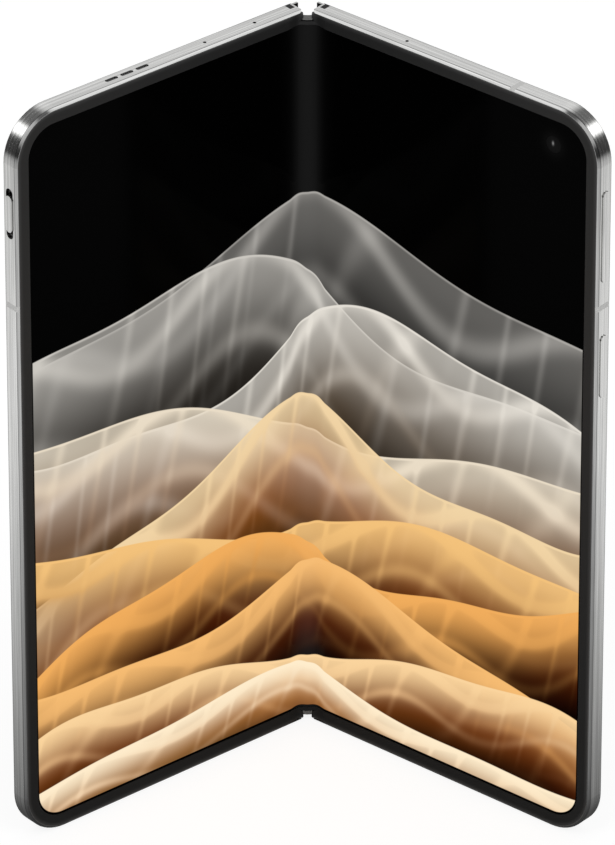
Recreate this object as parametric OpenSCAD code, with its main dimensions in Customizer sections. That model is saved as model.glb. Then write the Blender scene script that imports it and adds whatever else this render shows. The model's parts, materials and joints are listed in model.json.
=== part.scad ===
// Book-style foldable phone, standing half open on its bottom edges.
// Row frame: X across, Y from the display side to the back, Z up along the hinge.
// Each leaf is drawn flat, with x running out from the hinge and y from the trim's
// front to the back, and is then swung about its own pivot by the fold angle.

/* [Leaves] */
// Height of both leaves
body_h = 160.9; // [145:0.1:180]
// Hinge centre line to the outer side of a leaf
leaf_w = 72.8; // [66:0.1:80]
// Thickness of one leaf, from the raised trim to the back
leaf_t = 4.2; // [4.2:0.05:5]
// Radius of the outer corners
corner_r = 9.8; // [7:0.1:13]
// Angle of each leaf off flat in the stored pose
fold = 40; // [0:1:90]

/* [Rim and plates] */
// Thickness of the metal rim
rim_wall = 1.3; // [1.1:0.05:1.8]
// Bevel on the rim's front edge
front_bevel = 0.42; // [0.2:0.01:0.45]
// Bevel on the rim's back edge
back_bevel = 0.5; // [0.3:0.05:0.7]
// Bare metal between the bevelled edge and the trim
front_land = 0.08; // [0.05:0.01:0.2]
// Thickness of the plate that backs the display
midplate_t = 0.5; // [0.35:0.05:0.6]
// Thickness of the flange that hides the spine when open
flange_t = 0.5; // [0.4:0.05:0.6]
// Width of the frame's back border beside the hinge
border_w = 8.5; // [7:0.1:12]
// Thickness of the glass on the back faces
back_glass_t = 0.58; // [0.4:0.02:0.7]
// Gap all round a seated glass or panel
seat_gap = 0.03; // [0.02:0.01:0.08]

/* [Inner display] */
// Width of the dark trim round the display
trim_w = 2.6; // [1.8:0.1:4]
// Height of the trim above the display
trim_rise = 0.2; // [0.15:0.01:0.3]
// Thickness of the display stack
display_t = 0.35; // [0.25:0.01:0.4]
// Corner radius of the display
display_r = 6.2; // [4:0.1:8]
// Half length of the display's free strip over the spine
strip_half = 5.4; // [5:0.1:5.6]

/* [Spine] */
// Depth of the two pivots behind the trim's front
pivot_y = 1.6; // [1.55:0.01:1.65]
// Gap between the two trims when shut
closed_gap = 0.4; // [0.2:0.02:0.6]
// Running gap between the spine and the flanges
spine_gap = 0.1; // [0.08:0.01:0.2]
// Wall of the spine cover
spine_wall = 0.45; // [0.35:0.05:0.5]
// How far the spine stops short of the leaves' ends
spine_recess = 3; // [1:0.1:4]
// Length of each end cap
end_cap_l = 1.9; // [1:0.1:3]

/* [Hinge units] */
// Radius of the hinge pins
pin_r = 0.25; // [0.2:0.01:0.27]
// Radius of the idler pins
idler_pin_r = 0.2; // [0.15:0.01:0.22]
// Running clearance on a pin, on the radius
pin_fit = 0.03; // [0.02:0.01:0.05]
// Seating clearance of a fixed pin, on the radius
press_fit = 0.01; // [0.01:0.005:0.02]
// Teeth on each of the four gears
teeth = 10; // [10:2:12]
// Share of the pitch left free between teeth
backlash = 0.05; // [0.03:0.01:0.08]
// Radius of the arm's hub
hub_r = 0.8; // [0.7:0.05:0.9]
// Length of a gear along its pin
gear_l = 2.1; // [1.5:0.1:3]
// Length of the arm's hub along its pin
hub_l = 4.6; // [3.5:0.1:6]
// Thickness of a bracket ear
ear_l = 1.2; // [0.8:0.1:1.6]
// Length of the disc spring stacks
spring_l = 3.2; // [2.4:0.1:5]
// Gap along the pin between neighbouring pieces
side_gap = 0.05; // [0.03:0.01:0.08]
// Reach of an arm into its leaf
arm_reach = 11.5; // [10:0.1:13]
// Height of the lowest hinge unit
first_unit_z = 14; // [8:0.5:20]

/* [Side keys] */
// Upper corner's end down to the volume rocker
rocker_gap = 5.65; // [1:0.05:13]
// Length of the volume rocker
rocker_l = 19.7; // [14:0.1:24]
// Volume rocker's middle down to the power key's
power_step = 28.4; // [24:0.1:38]
// Length of the power key
power_l = 13.6; // [10:0.1:16]
// Upper corner's end down to the mode slider's slot
slider_gap = 5.05; // [0.5:0.05:12]
// Length of the mode slider's slot
slot_l = 10.9; // [9.5:0.1:14]
// Length of the mode slider's knob
knob_l = 7.9; // [6:0.1:8.5]
// Width of the keys, across the leaf's thickness
key_w = 1.9; // [1.4:0.1:2.2]
// How far the keys stand out of the rim
key_proud = 0.25; // [0.1:0.01:0.4]
// Travel of the power key
key_travel = 0.2; // [0.1:0.01:0.25]
// Gap round a key in its slot
key_gap = 0.06; // [0.04:0.01:0.1]

/* [Edges] */
// Place of the outer sides' antenna split between the keys, as a share of the gap
split_share = 0.455; // [0.3:0.005:0.7]
// Outer side to the antenna split on the right top edge
top_split_in = 21.5; // [16:0.1:30]
// Width of an antenna split
split_w = 1.2; // [0.8:0.1:2]
// Outer side to the middle of the speaker slots on the top edge
speaker_in = 28.9; // [22:0.1:35]
// Length of one speaker slot
slot_len = 3; // [2:0.1:3.4]
// Step from one speaker slot to the next
slot_step = 3.75; // [3.5:0.05:4.5]
// Width of a speaker slot
slot_w = 0.9; // [0.6:0.1:1.2]
// Radius of a microphone hole
mic_r = 0.35; // [0.25:0.05:0.5]
// Width of the charging socket's opening
usb_w = 8.34; // [8.34:0.1:9]
// Height of the charging socket's opening
usb_h = 2.56; // [2.4:0.02:2.6]
// Charging socket's middle to the first speaker slot's
usb_step = 12; // [8:0.1:18]
// Lower corner's end to the last speaker slot
bottom_gap = 1.25; // [0.5:0.05:4]
// Lower corner's end to the card tray's face
tray_gap = 6.2; // [1:0.1:12]
// Width of the card tray's face
tray_w = 13.6; // [12:0.1:16]
// Depth of the card tray
tray_d = 19; // [15:0.5:22]

/* [Back] */
// Radius of the round camera island
island_r = 20.5; // [17:0.1:23]
// Outer side to the island's middle
island_in = 32.3; // [29:0.1:36]
// Top edge to the island's middle
island_drop = 31.9; // [27:0.1:37]
// How far the island stands off the back
island_rise = 1.5; // [1:0.1:2.2]
// Radius of the circle that the lenses stand on
lens_pitch_r = 10.2; // [9.8:0.1:11.5]
// Outer radius of a lens ring
lens_r = 6; // [4.5:0.1:6.4]
// Outer side to the inner camera
selfie_in = 11.3; // [9:0.1:15]
// Inner camera below the top edge
selfie_drop = 8.5; // [7.5:0.1:12]
// Radius of the inner camera's hole in the display
selfie_r = 1.9; // [1.4:0.1:2.4]

/* [Hidden] */
$fn = 48;

// Pivots and the stored pose
pivot_x = pivot_y + closed_gap / 2;
flange_x = 0.05;
swing_front = pivot_y - (leaf_w - front_bevel - pivot_x) * sin(fold) - pivot_y * cos(fold);
swing_back = pivot_y + (pivot_x - flange_x) * sin(fold) + (leaf_t - pivot_y) * cos(fold);
hinge_y = -(swing_front + swing_back) / 2;

// Layers through a leaf, from the front
display_back = trim_rise + display_t;
plate_y = display_back + 0.05;
cavity_y = plate_y + midplate_t;
glass_y = leaf_t - back_glass_t;
ledge_y = glass_y - seat_gap;
mid_y = leaf_t / 2;

// Insets from a leaf's edge
trim_inset = front_bevel + front_land;
screen_inset = trim_inset + trim_w;
glass_inset = back_bevel + 0.4;
plate_x = strip_half + 0.22;
wall_x = 5.2;
wall_t = 0.6;
end_wall = trim_inset - seat_gap;
rim_end_x = 1.9;
rim_nose_r = 0.9;
rim_section = [[0, front_bevel], [front_bevel, 0], [end_wall, 0], [end_wall, plate_y],
               [rim_wall, plate_y], [rim_wall, ledge_y], [glass_inset - seat_gap, ledge_y],
               [glass_inset - seat_gap, leaf_t], [back_bevel, leaf_t], [0, leaf_t - back_bevel]];

// Spine
spine_r = leaf_t - flange_t - spine_gap - pivot_y;
spine_edge_y = pivot_y + 1;
spine_z = spine_recess;
core_r = spine_r - spine_wall - 0.05;
core_back = pivot_y + core_r;
ear_y = 0.87;
centre_w = 1.3;
centre_t = 0.22;
screw_r = 0.35;
screw_head_r = 0.65;
screw_head_t = 0.3;

// Gears
gear_r = pivot_x / 3;
tooth_m = 2 * gear_r / teeth;
tip_r = gear_r + 0.8 * tooth_m;
root_r = gear_r - tooth_m;
pressure = 25;
flank_steps = 3;

// Places along a hinge unit, from its lower end
gear_z = ear_l + side_gap;
hub_z = gear_z + gear_l;
ear2_z = hub_z + hub_l + side_gap;
spring_z = ear2_z + ear_l + side_gap;
ear3_z = spring_z + spring_l + side_gap;
unit_l = ear3_z + ear_l;
unit_zs = [first_unit_z, (body_h - unit_l) / 2, body_h - first_unit_z - unit_l];
idler_ear_l = 1;
washers = 8;

// Arms and their screws
arm_y = pivot_y + 0.08;
arm_t = 0.75;
pad_x = wall_x + 1.2;
arm_screw_xs = [pad_x + 1.2, arm_reach - 1.2];
arm_screw_r = 0.4;
arm_screw_head_r = 0.75;
arm_screw_head_t = 0.35;

// Wing plates that carry the strip beside the spine
wing_bead_r = 0.18;
wing_in_x = 3;
wing_x = plate_x;
wing_y = plate_y + 0.24;
wing_angle = 17;
wing_rest = fold * wing_angle / 90;

// Free strip and hinge cables
strip_steps = 14;
flex_zs = [for (i = [0, 1]) (unit_zs[i] + unit_l + unit_zs[i + 1]) / 2];
flex_w = 14;
flex_y = 1.95;
flex_t = 0.12;
flex_bend = 3.6;
flex_reach = arm_reach + 2.4;

// Keys
slider_z = body_h - corner_r - slider_gap - slot_l / 2;
rocker_z = body_h - corner_r - rocker_gap - rocker_l / 2;
power_z = rocker_z - power_step;
key_lip = 0.35;
key_back_gap = key_travel + 0.02;
key_lip_x = leaf_w - rim_wall - key_back_gap;
switch_x = key_lip_x - key_lip - key_back_gap - 0.01;
slot_recess = 0.5;
stem_w = key_w - 0.8;
stem_slot_l = slot_l - 1.6;
stem_l = knob_l - 2.2;
switch_t = 1.9;
switch_d = 0.8;
mode_switch_d = 1.3;
mode_switch_l = 10;
key_switch_l = 3.6;

// Edges
left_mic_xs = [24.7, 12.3];
right_mic_x = 23.9;
speaker_x = leaf_w - speaker_in;
bottom_slot_x = leaf_w - corner_r - bottom_gap - slot_len / 2 - 3 * slot_step;
usb_x = bottom_slot_x - usb_step;
bottom_mic_x = usb_x - 9;
top_split_x = leaf_w - top_split_in;
split_z = rocker_z - rocker_l / 2 - split_share * (power_step - (rocker_l + power_l) / 2);
split_keep = 0.35;
hinge_split_x = 2.3;
hinge_split_y = 1.9;
usb_wall = 0.2;
usb_l = 7.3;
usb_back = 0.8;
usb_tongue_w = usb_w - 1.74;
usb_tongue_t = 0.7;
tray_x = leaf_w - corner_r - tray_gap - tray_w / 2;
tray_h = 1.7;
tray_slab_t = 0.9;
tray_slab_half = tray_w / 2 - 0.6;
tray_room = 0.12;
tray_end_gap = 0.6;
tray_bar = 1.2;
cage_wall = 0.35;

// Back faces
island_x = leaf_w - island_in;
island_z = body_h - island_drop;
lens_spots = [for (a = [90, 210, 330])
    [island_x + lens_pitch_r * cos(a), island_z + lens_pitch_r * sin(a)]];
deck_r = island_r - 1.65;
deck_top = leaf_t + island_rise - 0.3;
deck_hole_r = island_r - 2;
barrel_r = lens_r - 2;
flash_r = 2.2;
flash_t = 0.6;
lens_ring_t = 0.7;
lens_ring_w = 1;
cover_panel_t = 0.5;
cover_cam_x = (border_w + leaf_w) / 2;
cover_cam_drop = 9.5;
cover_cam_r = 1.9;
cover_cam_t = 1.4;
selfie_x = leaf_w - selfie_in;
selfie_z = body_h - selfie_drop;
selfie_t = 1.8;

// Contents of the leaves
inner_x = arm_reach + 2.5;
side_room = 4.5;
board_t = 0.55;
shield_t = 0.95;
shield_l = 22;
shield_gap = 3;
shield_w = (leaf_w - side_room - inner_x - 3 * shield_gap) / 2;
battery_t = 1.88;
battery_gap = 2;
left_board_l = 33;
left_board_top = body_h - 20.9;
left_battery_z = tray_d + 7;
right_battery_z = 22;
main_board_z = body_h - 72.9;
main_board_top = body_h - 4;
coil_z = (right_battery_z + main_board_z - battery_gap) / 2;
coil_r = 22;
coil_hole_r = 12;
coil_t = 0.35;
module_w = 9.6;
module_t = 1.7;
speaker_l = 4.7;
speaker_half = slot_step + slot_len / 2 + 1.25;
bottom_speaker_z = 14;
bottom_module_t = 2.2;
motor_w = 10;
motor_z = 4;
motor_l = 12;
magnet_w = 1.4;
magnet_t = 1.6;
magnet_l = 3.5;
magnet_inset = 1.8;
magnet_zs = [16, 21, body_h / 2 - 3];

metal = "silver";
steel = [0.62, 0.63, 0.65];
dark = [0.16, 0.16, 0.17];
glass = [0.05, 0.05, 0.06];

// Share of the fold taken up at t along a bend, from 0 to 1
function ease(t) = t <= 0 ? 0 : t >= 1 ? 1 : t * t * (3 - 2 * t);

// Flat point (s, y) turned about the pivot by angle a
function swing(s, y, a) = [pivot_x + (s - pivot_x) * cos(a) + (y - pivot_y) * sin(a),
                           pivot_y - (s - pivot_x) * sin(a) + (y - pivot_y) * cos(a)];

// Points of one bent surface at depth y, out to reach, that bends over its first stretch
function bent_row(y, reach, bend) = [for (i = [0:strip_steps])
    let (s = reach * i / strip_steps) swing(s, y, fold * ease(s / bend))];
function reversed(list) = [for (i = [len(list) - 1:-1:0]) list[i]];

module on_spine(side = 1) translate([0, hinge_y, 0]) mirror([side < 0 ? 1 : 0, 0, 0]) children();

module on_leaf(side) {
    on_spine(side) translate([pivot_x, pivot_y, 0]) rotate(-fold)
        translate([-pivot_x, -pivot_y, 0]) children();
}

module on_wing(side) {
    on_leaf(side) translate([wing_x, wing_y, 0]) rotate(-wing_rest)
        translate([-wing_x, -wing_y, 0]) children();
}

module block(x0, x1, y0, y1, z0, z1) {
    translate([x0, y0, z0]) cube([x1 - x0, y1 - y0, z1 - z0]);
}

// Extrudes an x-z outline through the leaf, from y0 to y1
module through(y0, y1) translate([0, y1, 0]) rotate([90, 0, 0]) linear_extrude(y1 - y0) children();

// Round piece along the leaf's thickness
module round_through(x, z, r, y0, y1) {
    translate([x, y0, z]) rotate([-90, 0, 0]) cylinder(r = r, h = y1 - y0);
}

// Leaf outline seen from the front, moved in from the edge by inset
module leaf_outline(x0, inset, r = 0) {
    round_r = r > 0 ? r : corner_r - inset;
    translate([x0, inset]) square([leaf_w - inset - round_r - x0, body_h - 2 * inset]);
    translate([x0, inset + round_r])
        square([leaf_w - inset - x0, body_h - 2 * (inset + round_r)]);
    for (z = [inset + round_r, body_h - inset - round_r])
        translate([leaf_w - inset - round_r, z]) circle(round_r);
}

// Slot with round ends, along z on the outer side
module side_slot(length, width, x0, x1, z) {
    reach = (length - width) / 2;
    for (end = [-reach, reach]) translate([x0, mid_y, z + end]) rotate([0, 90, 0])
        cylinder(d = width, h = x1 - x0);
    block(x0, x1, mid_y - width / 2, mid_y + width / 2, z - reach, z + reach);
}

// Slot with round ends, along x on the top or bottom edge
module edge_slot(length, width, x, z0, z1) {
    reach = (length - width) / 2;
    for (end = [-reach, reach]) translate([x + end, mid_y, z0]) cylinder(d = width, h = z1 - z0);
    block(x - reach, x + reach, mid_y - width / 2, mid_y + width / 2, z0, z1);
}

// Metal rim: one section run along three sides and round two corners
module rim() {
    span = leaf_w - corner_r - rim_end_x;
    translate([leaf_w, 0, corner_r]) linear_extrude(body_h - 2 * corner_r)
        polygon([for (p = rim_section) [-p[0], p[1]]]);
    translate([rim_end_x, 0, 0]) rotate([90, 0, 90]) linear_extrude(span)
        polygon([for (p = rim_section) [p[1], body_h - p[0]]]);
    translate([rim_end_x, 0, 0]) rotate([90, 0, 90]) linear_extrude(span)
        polygon([for (p = rim_section) [p[1], p[0]]]);
    for (top = [0, 1])
        translate([leaf_w - corner_r, 0, top ? body_h - corner_r : corner_r]) rotate([-90, 0, 0])
            rotate([0, 0, -90 * top]) rotate_extrude(angle = 90)
                polygon([for (p = rim_section) [corner_r - p[0], p[1]]]);
}

// Rounds the rim's front corner beside the spine
module rim_nose(z) {
    translate([0, 0, z]) difference() {
        block(rim_end_x - 1, rim_end_x + rim_nose_r, -1, rim_nose_r, -0.1, rim_wall + 0.1);
        translate([rim_end_x + rim_nose_r, rim_nose_r, -1])
            cylinder(r = rim_nose_r, h = rim_wall + 2);
    }
}

// Frame that both leaves share: rim, midplate, back border, flange and hinge wall
module leaf_frame() {
    top = body_h - end_wall;
    difference() {
        union() {
            rim();
            through(plate_y, cavity_y) leaf_outline(plate_x, rim_wall - 0.1);
            block(wall_x, border_w, glass_y - flange_t, ledge_y, end_wall, top);
            block(flange_x, border_w - seat_gap, leaf_t - flange_t, leaf_t,
                  back_bevel, body_h - back_bevel);
            block(wall_x, wall_x + wall_t, cavity_y, leaf_t - flange_t, end_wall, top);
        }
        block(-1, wall_x, -1, leaf_t - flange_t, end_wall, top);
        block(wall_x - 1, plate_x, -1, cavity_y, end_wall, top);
        for (z = [0, body_h - rim_wall]) rim_nose(z);
        translate([wing_x, wing_y, end_wall])
            cylinder(r = wing_bead_r + 0.04, h = top - end_wall);
        for (z = unit_zs) {
            block(wall_x - 1, wall_x + 1, arm_y - 0.15, arm_y + arm_t + 0.15,
                  z + hub_z - 0.2, z + hub_z + hub_l + 0.2);
            for (x = arm_screw_xs) round_through(x, z + hub_z + hub_l / 2,
                                                 arm_screw_r + press_fit, plate_y - 1, cavity_y + 1);
        }
        for (z = flex_zs) block(wall_x - 1, wall_x + 1, flex_y - 0.2, flex_y + flex_t + 0.2,
                                z - flex_w / 2 - 0.3, z + flex_w / 2 + 0.3);
    }
}

// Places where plastic splits the metal rim; side is -1 for the left leaf
module split_places(side) {
    block(leaf_w - rim_wall + split_keep, leaf_w + 1, -1, leaf_t + 1,
          split_z - split_w / 2, split_z + split_w / 2);
    if (side > 0) block(top_split_x - split_w / 2, top_split_x + split_w / 2, -1, leaf_t + 1,
                        body_h - rim_wall + split_keep, body_h + 1);
    for (z = [-1, body_h - rim_wall + split_keep])
        block(hinge_split_x, hinge_split_x + split_w, hinge_split_y, leaf_t + 1,
              z, z + 1 + rim_wall - split_keep);
}

module antenna_splits(side) {
    color(dark) on_leaf(side) intersection() {
        rim();
        split_places(side);
    }
}

module spine_section(r, y0, half = 9) {
    intersection() {
        union() {
            for (x = [-pivot_x, pivot_x]) translate([x, pivot_y]) circle(r);
            translate([-pivot_x, pivot_y - r]) square([2 * pivot_x, 2 * r]);
        }
        translate([-half, y0]) square([2 * half, 2 * leaf_t]);
    }
}

module spine_cover() {
    color(metal) on_spine() translate([0, 0, spine_z]) linear_extrude(body_h - 2 * spine_z)
        difference() {
            spine_section(spine_r, spine_edge_y);
            spine_section(spine_r - spine_wall, spine_edge_y - 1);
        }
}

module spine_end_caps() {
    color(steel) on_spine() for (z = [spine_z, body_h - spine_z - end_cap_l])
        translate([0, 0, z]) linear_extrude(end_cap_l) spine_section(core_r, ear_y);
}

module bracket_ear(z, length, half = 9) {
    translate([0, 0, z]) linear_extrude(length) spine_section(core_r, ear_y, half);
}

// One bracket: a floor in the spine cover, with ears that hold the pins
module hinge_bracket() {
    difference() {
        union() {
            bracket_ear(0, ear_l);
            bracket_ear(hub_z + side_gap, idler_ear_l, pivot_x - hub_r - 0.1);
            bracket_ear(ear2_z, ear_l);
            bracket_ear(ear3_z, ear_l);
            linear_extrude(unit_l) spine_section(core_r, pivot_y + hub_r + 0.2);
        }
        for (x = [-pivot_x, pivot_x]) translate([x, pivot_y, -1])
            cylinder(r = pin_r + press_fit, h = unit_l + 2);
        for (x = [-gear_r, gear_r]) translate([x, pivot_y, -1])
            cylinder(r = idler_pin_r + press_fit, h = 1 + hub_z + side_gap + idler_ear_l);
        round_through(0, spring_z + spring_l / 2, screw_r + press_fit, pivot_y, leaf_t);
    }
}

module hinge_brackets() {
    color(steel) on_spine() for (z = unit_zs) translate([0, 0, z]) hinge_bracket();
}

module centre_plate() {
    color(steel) on_spine() block(-centre_w / 2, centre_w / 2, ear_y - centre_t, ear_y,
                                  spine_z, body_h - spine_z);
}

module hinge_pins() {
    color(steel) on_spine() for (z = unit_zs) {
        for (x = [-pivot_x, pivot_x]) translate([x, pivot_y, z]) cylinder(r = pin_r, h = unit_l);
        for (x = [-gear_r, gear_r]) translate([x, pivot_y, z])
            cylinder(r = idler_pin_r, h = hub_z + side_gap + idler_ear_l);
    }
}

// Stack of dished washers on each hinge pin, as one revolved zigzag
module disc_springs() {
    bore = pin_r + pin_fit;
    rim_points = [for (i = [0:washers]) [i % 2 ? hub_r : hub_r - 0.2, i * spring_l / washers]];
    color(steel) on_spine() for (z = unit_zs, x = [-pivot_x, pivot_x])
        translate([x, pivot_y, z + spring_z]) rotate_extrude()
            polygon(concat([[bore, 0]], rim_points, [[bore, spring_l]]));
}

module bracket_screws() {
    floor_y = pivot_y + hub_r + 0.2;
    color(steel) on_spine() for (z = unit_zs) {
        round_through(0, z + spring_z + spring_l / 2, screw_r, floor_y, core_back);
        round_through(0, z + spring_z + spring_l / 2, screw_head_r, floor_y - screw_head_t, floor_y);
    }
}

// Bent sheet between depths y0 and y1, out to reach
module bent_sheet(y0, y1, reach, bend, z0, z1) {
    translate([0, 0, z0]) linear_extrude(z1 - z0)
        polygon(concat(bent_row(y0, reach, bend), reversed(bent_row(y1, reach, bend))));
}

module display_fold(side) {
    color(glass) on_spine(side) bent_sheet(trim_rise, display_back, strip_half, strip_half,
                                           screen_inset, body_h - screen_inset);
}

module fold_trim(side) {
    width = trim_w - seat_gap;
    color(dark) on_spine(side) for (z = [trim_inset, body_h - trim_inset - width])
        bent_sheet(0, display_back, strip_half, strip_half, z, z + width);
}

module hinge_flex(side) {
    color("peru") on_spine(side) for (z = flex_zs)
        bent_sheet(flex_y, flex_y + flex_t, flex_reach, flex_bend, z - flex_w / 2, z + flex_w / 2);
}

// Half angle of an involute tooth at radius r
function involute(a) = tan(a) * 180 / PI - a;
base_r = gear_r * cos(pressure);
function half_tooth(r) = (1 - backlash) * 90 / teeth + involute(pressure)
    - involute(acos(min(1, base_r / r)));
low_flank = max(root_r, base_r);
flank = [for (i = [0:flank_steps]) low_flank + (tip_r - low_flank) * i / flank_steps];
tooth = concat([[root_r, -half_tooth(low_flank)]], [for (r = flank) [r, -half_tooth(r)]],
               [for (r = reversed(flank)) [r, half_tooth(r)]], [[root_r, half_tooth(low_flank)]]);

// Gear outline, turned by a share of one tooth
module gear_outline(phase) {
    polygon([for (k = [0:teeth - 1], p = tooth)
        let (a = p[1] + (k + phase) * 360 / teeth) p[0] * [cos(a), sin(a)]]);
}

// Idlers between the two leaf gears; the left one's teeth meet the right one's gaps
module idler_gears(side) {
    color("goldenrod") on_spine() for (z = [unit_zs[0], unit_zs[2]])
        translate([side * gear_r, pivot_y, z + gear_z]) rotate(side * fold) difference() {
            linear_extrude(gear_l - side_gap) gear_outline(side > 0 ? 0.5 : 0);
            translate([0, 0, -1]) cylinder(r = idler_pin_r + pin_fit, h = gear_l + 2);
        }
}

// Arm that turns on a hinge pin, with its gear, and is screwed to the midplate
module hinge_arm(geared, phase) {
    difference() {
        union() {
            translate([pivot_x, pivot_y, hub_z + side_gap])
                cylinder(r = hub_r, h = hub_l - side_gap);
            if (geared) translate([pivot_x, pivot_y, gear_z])
                linear_extrude(gear_l + side_gap) gear_outline(phase);
            block(pivot_x, arm_reach, arm_y, arm_y + arm_t, hub_z + side_gap, hub_z + hub_l);
            block(pad_x, arm_reach, cavity_y, arm_y + arm_t, hub_z + side_gap, hub_z + hub_l);
        }
        translate([pivot_x, pivot_y, 0]) cylinder(r = pin_r + pin_fit, h = unit_l);
        for (x = arm_screw_xs)
            round_through(x, hub_z + hub_l / 2, arm_screw_r + press_fit, 0, leaf_t);
    }
}

module hinge_arms(side) {
    color(steel) on_leaf(side) for (i = [0:2]) translate([0, 0, unit_zs[i]])
        hinge_arm(i != 1, side > 0 ? 0 : 0.5);
}

module arm_screws(side) {
    seat_y = arm_y + arm_t;
    color(steel) on_leaf(side) for (z = unit_zs, x = arm_screw_xs) {
        round_through(x, z + hub_z + hub_l / 2, arm_screw_r, plate_y, seat_y);
        round_through(x, z + hub_z + hub_l / 2, arm_screw_head_r, seat_y,
                      seat_y + arm_screw_head_t);
    }
}

module wing_plate(side) {
    low = screen_inset - 1;
    color(steel) on_wing(side) {
        block(wing_in_x, wing_x, wing_y - wing_bead_r, wing_y, low, body_h - low);
        translate([wing_x, wing_y, low]) cylinder(r = wing_bead_r, h = body_h - 2 * low);
    }
}

module leaf_display() {
    through(trim_rise, display_back) leaf_outline(strip_half, screen_inset + seat_gap, display_r);
}

module left_display() {
    color(glass) on_leaf(-1) leaf_display();
}

module right_display() {
    color(glass) on_leaf(1) difference() {
        leaf_display();
        round_through(selfie_x, selfie_z, selfie_r, -1, plate_y);
    }
}

module leaf_trim(side) {
    color(dark) on_leaf(side) through(0, display_back) difference() {
        leaf_outline(strip_half, trim_inset);
        leaf_outline(strip_half - 1, screen_inset, display_r);
    }
}

module left_frame() {
    color(metal) on_leaf(-1) difference() {
        leaf_frame();
        split_places(-1);
        side_slot(slot_l, key_w + 2 * key_gap, leaf_w - slot_recess, leaf_w + 1, slider_z);
        side_slot(stem_slot_l, stem_w + 2 * key_gap, leaf_w - rim_wall - 1, leaf_w, slider_z);
        side_slot(slot_l, key_w + 2 * key_gap, leaf_w - rim_wall - 1, leaf_w - rim_wall, slider_z);
        for (i = [-1:1]) edge_slot(slot_len, slot_w, speaker_x + i * slot_step,
                                   body_h - rim_wall - 1, body_h + 1);
        for (x = left_mic_xs) translate([x, mid_y, body_h - rim_wall - 1])
            cylinder(r = mic_r, h = rim_wall + 2);
        edge_slot(tray_w + 2 * key_gap, tray_h + 2 * key_gap, tray_x, -1, rim_wall + 1);
    }
}

// Slot for a key, with room behind the rim for its lips
module key_slot(length, z) {
    width = key_w + 2 * key_gap;
    side_slot(length + 2 * key_gap, width, leaf_w - rim_wall - 1, leaf_w + 1, z);
    side_slot(length + 2 * (key_lip + key_gap), width, leaf_w - rim_wall - 1, leaf_w - rim_wall, z);
}

module right_frame() {
    color(metal) on_leaf(1) difference() {
        leaf_frame();
        split_places(1);
        key_slot(rocker_l, rocker_z);
        key_slot(power_l, power_z);
        translate([right_mic_x, mid_y, body_h - rim_wall - 1])
            cylinder(r = mic_r, h = rim_wall + 2);
        edge_slot(usb_w + 2 * usb_wall + seat_gap, usb_h + 2 * usb_wall + seat_gap, usb_x,
                  -1, usb_l + 0.2);
        for (i = [0:3])
            edge_slot(slot_len, slot_w, bottom_slot_x + i * slot_step, -1, rim_wall + 1);
        translate([bottom_mic_x, mid_y, -1]) cylinder(r = mic_r, h = rim_wall + 2);
        round_through(selfie_x, selfie_z, selfie_r + 0.1, -1, cavity_y + 1);
    }
}

module back_panel() through(glass_y, leaf_t) leaf_outline(border_w, glass_inset);

module cover_glass() {
    color(glass) on_leaf(-1) back_panel();
}

module cover_display() {
    color([0.1, 0.1, 0.12]) on_leaf(-1) difference() {
        through(glass_y - cover_panel_t, glass_y)
            leaf_outline(border_w + 1, glass_inset + 1.2, corner_r - 2);
        round_through(cover_cam_x, body_h - cover_cam_drop, cover_cam_r + 0.2, 0, leaf_t);
    }
}

module cover_camera() {
    half = cover_cam_r + 0.4;
    color(glass) on_leaf(-1) {
        round_through(cover_cam_x, body_h - cover_cam_drop, cover_cam_r, cavity_y, glass_y);
        block(cover_cam_x - half, cover_cam_x + half, cavity_y, cavity_y + cover_cam_t,
              body_h - cover_cam_drop - half, body_h - cover_cam_drop + half);
    }
}

module left_battery() {
    color("dimgray") on_leaf(-1)
        block(inner_x, leaf_w - side_room - 2.5, cavity_y, cavity_y + battery_t,
              left_battery_z, left_board_top - left_board_l - battery_gap);
}

module left_board() {
    color("darkgreen") on_leaf(-1)
        block(inner_x, leaf_w - side_room, cavity_y, cavity_y + board_t,
              left_board_top - left_board_l, left_board_top);
}

module top_speaker() {
    color("dimgray") on_leaf(-1)
        block(speaker_x - speaker_half, speaker_x + speaker_half, cavity_y,
              cavity_y + battery_t, body_h - rim_wall - speaker_l, body_h - rim_wall);
}

module magnets(side) {
    x = leaf_w - magnet_inset;
    color(steel) on_leaf(side) for (z = magnet_zs)
        block(x - magnet_w, x, cavity_y, cavity_y + magnet_t, z, z + magnet_l);
}

// Slider knob in its recess, with a stem through the rim to the plate behind it
module mode_slider() {
    color(metal) on_leaf(-1) {
        side_slot(knob_l, key_w, leaf_w - slot_recess + seat_gap, leaf_w + key_proud, slider_z);
        side_slot(stem_l, stem_w, key_lip_x - key_lip, leaf_w - slot_recess + seat_gap, slider_z);
        side_slot(knob_l, key_w, key_lip_x - key_lip, key_lip_x, slider_z);
    }
}

module mode_switch() {
    half = mode_switch_l / 2;
    color(dark) on_leaf(-1) block(switch_x - mode_switch_d, switch_x, cavity_y,
                                  cavity_y + switch_t, slider_z - half, slider_z + half);
}

module card_tray() {
    inner = tray_slab_half - 0.8;
    color(metal) on_leaf(-1) difference() {
        union() {
            edge_slot(tray_w, tray_h, tray_x, seat_gap, rim_wall);
            block(tray_x - tray_slab_half, tray_x + tray_slab_half, mid_y - tray_slab_t / 2,
                  mid_y + tray_slab_t / 2, rim_wall, tray_d);
        }
        block(tray_x - inner, tray_x + inner, mid_y - tray_slab_t / 3, mid_y + leaf_t,
              rim_wall + tray_bar, tray_d - tray_bar);
    }
}

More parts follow.
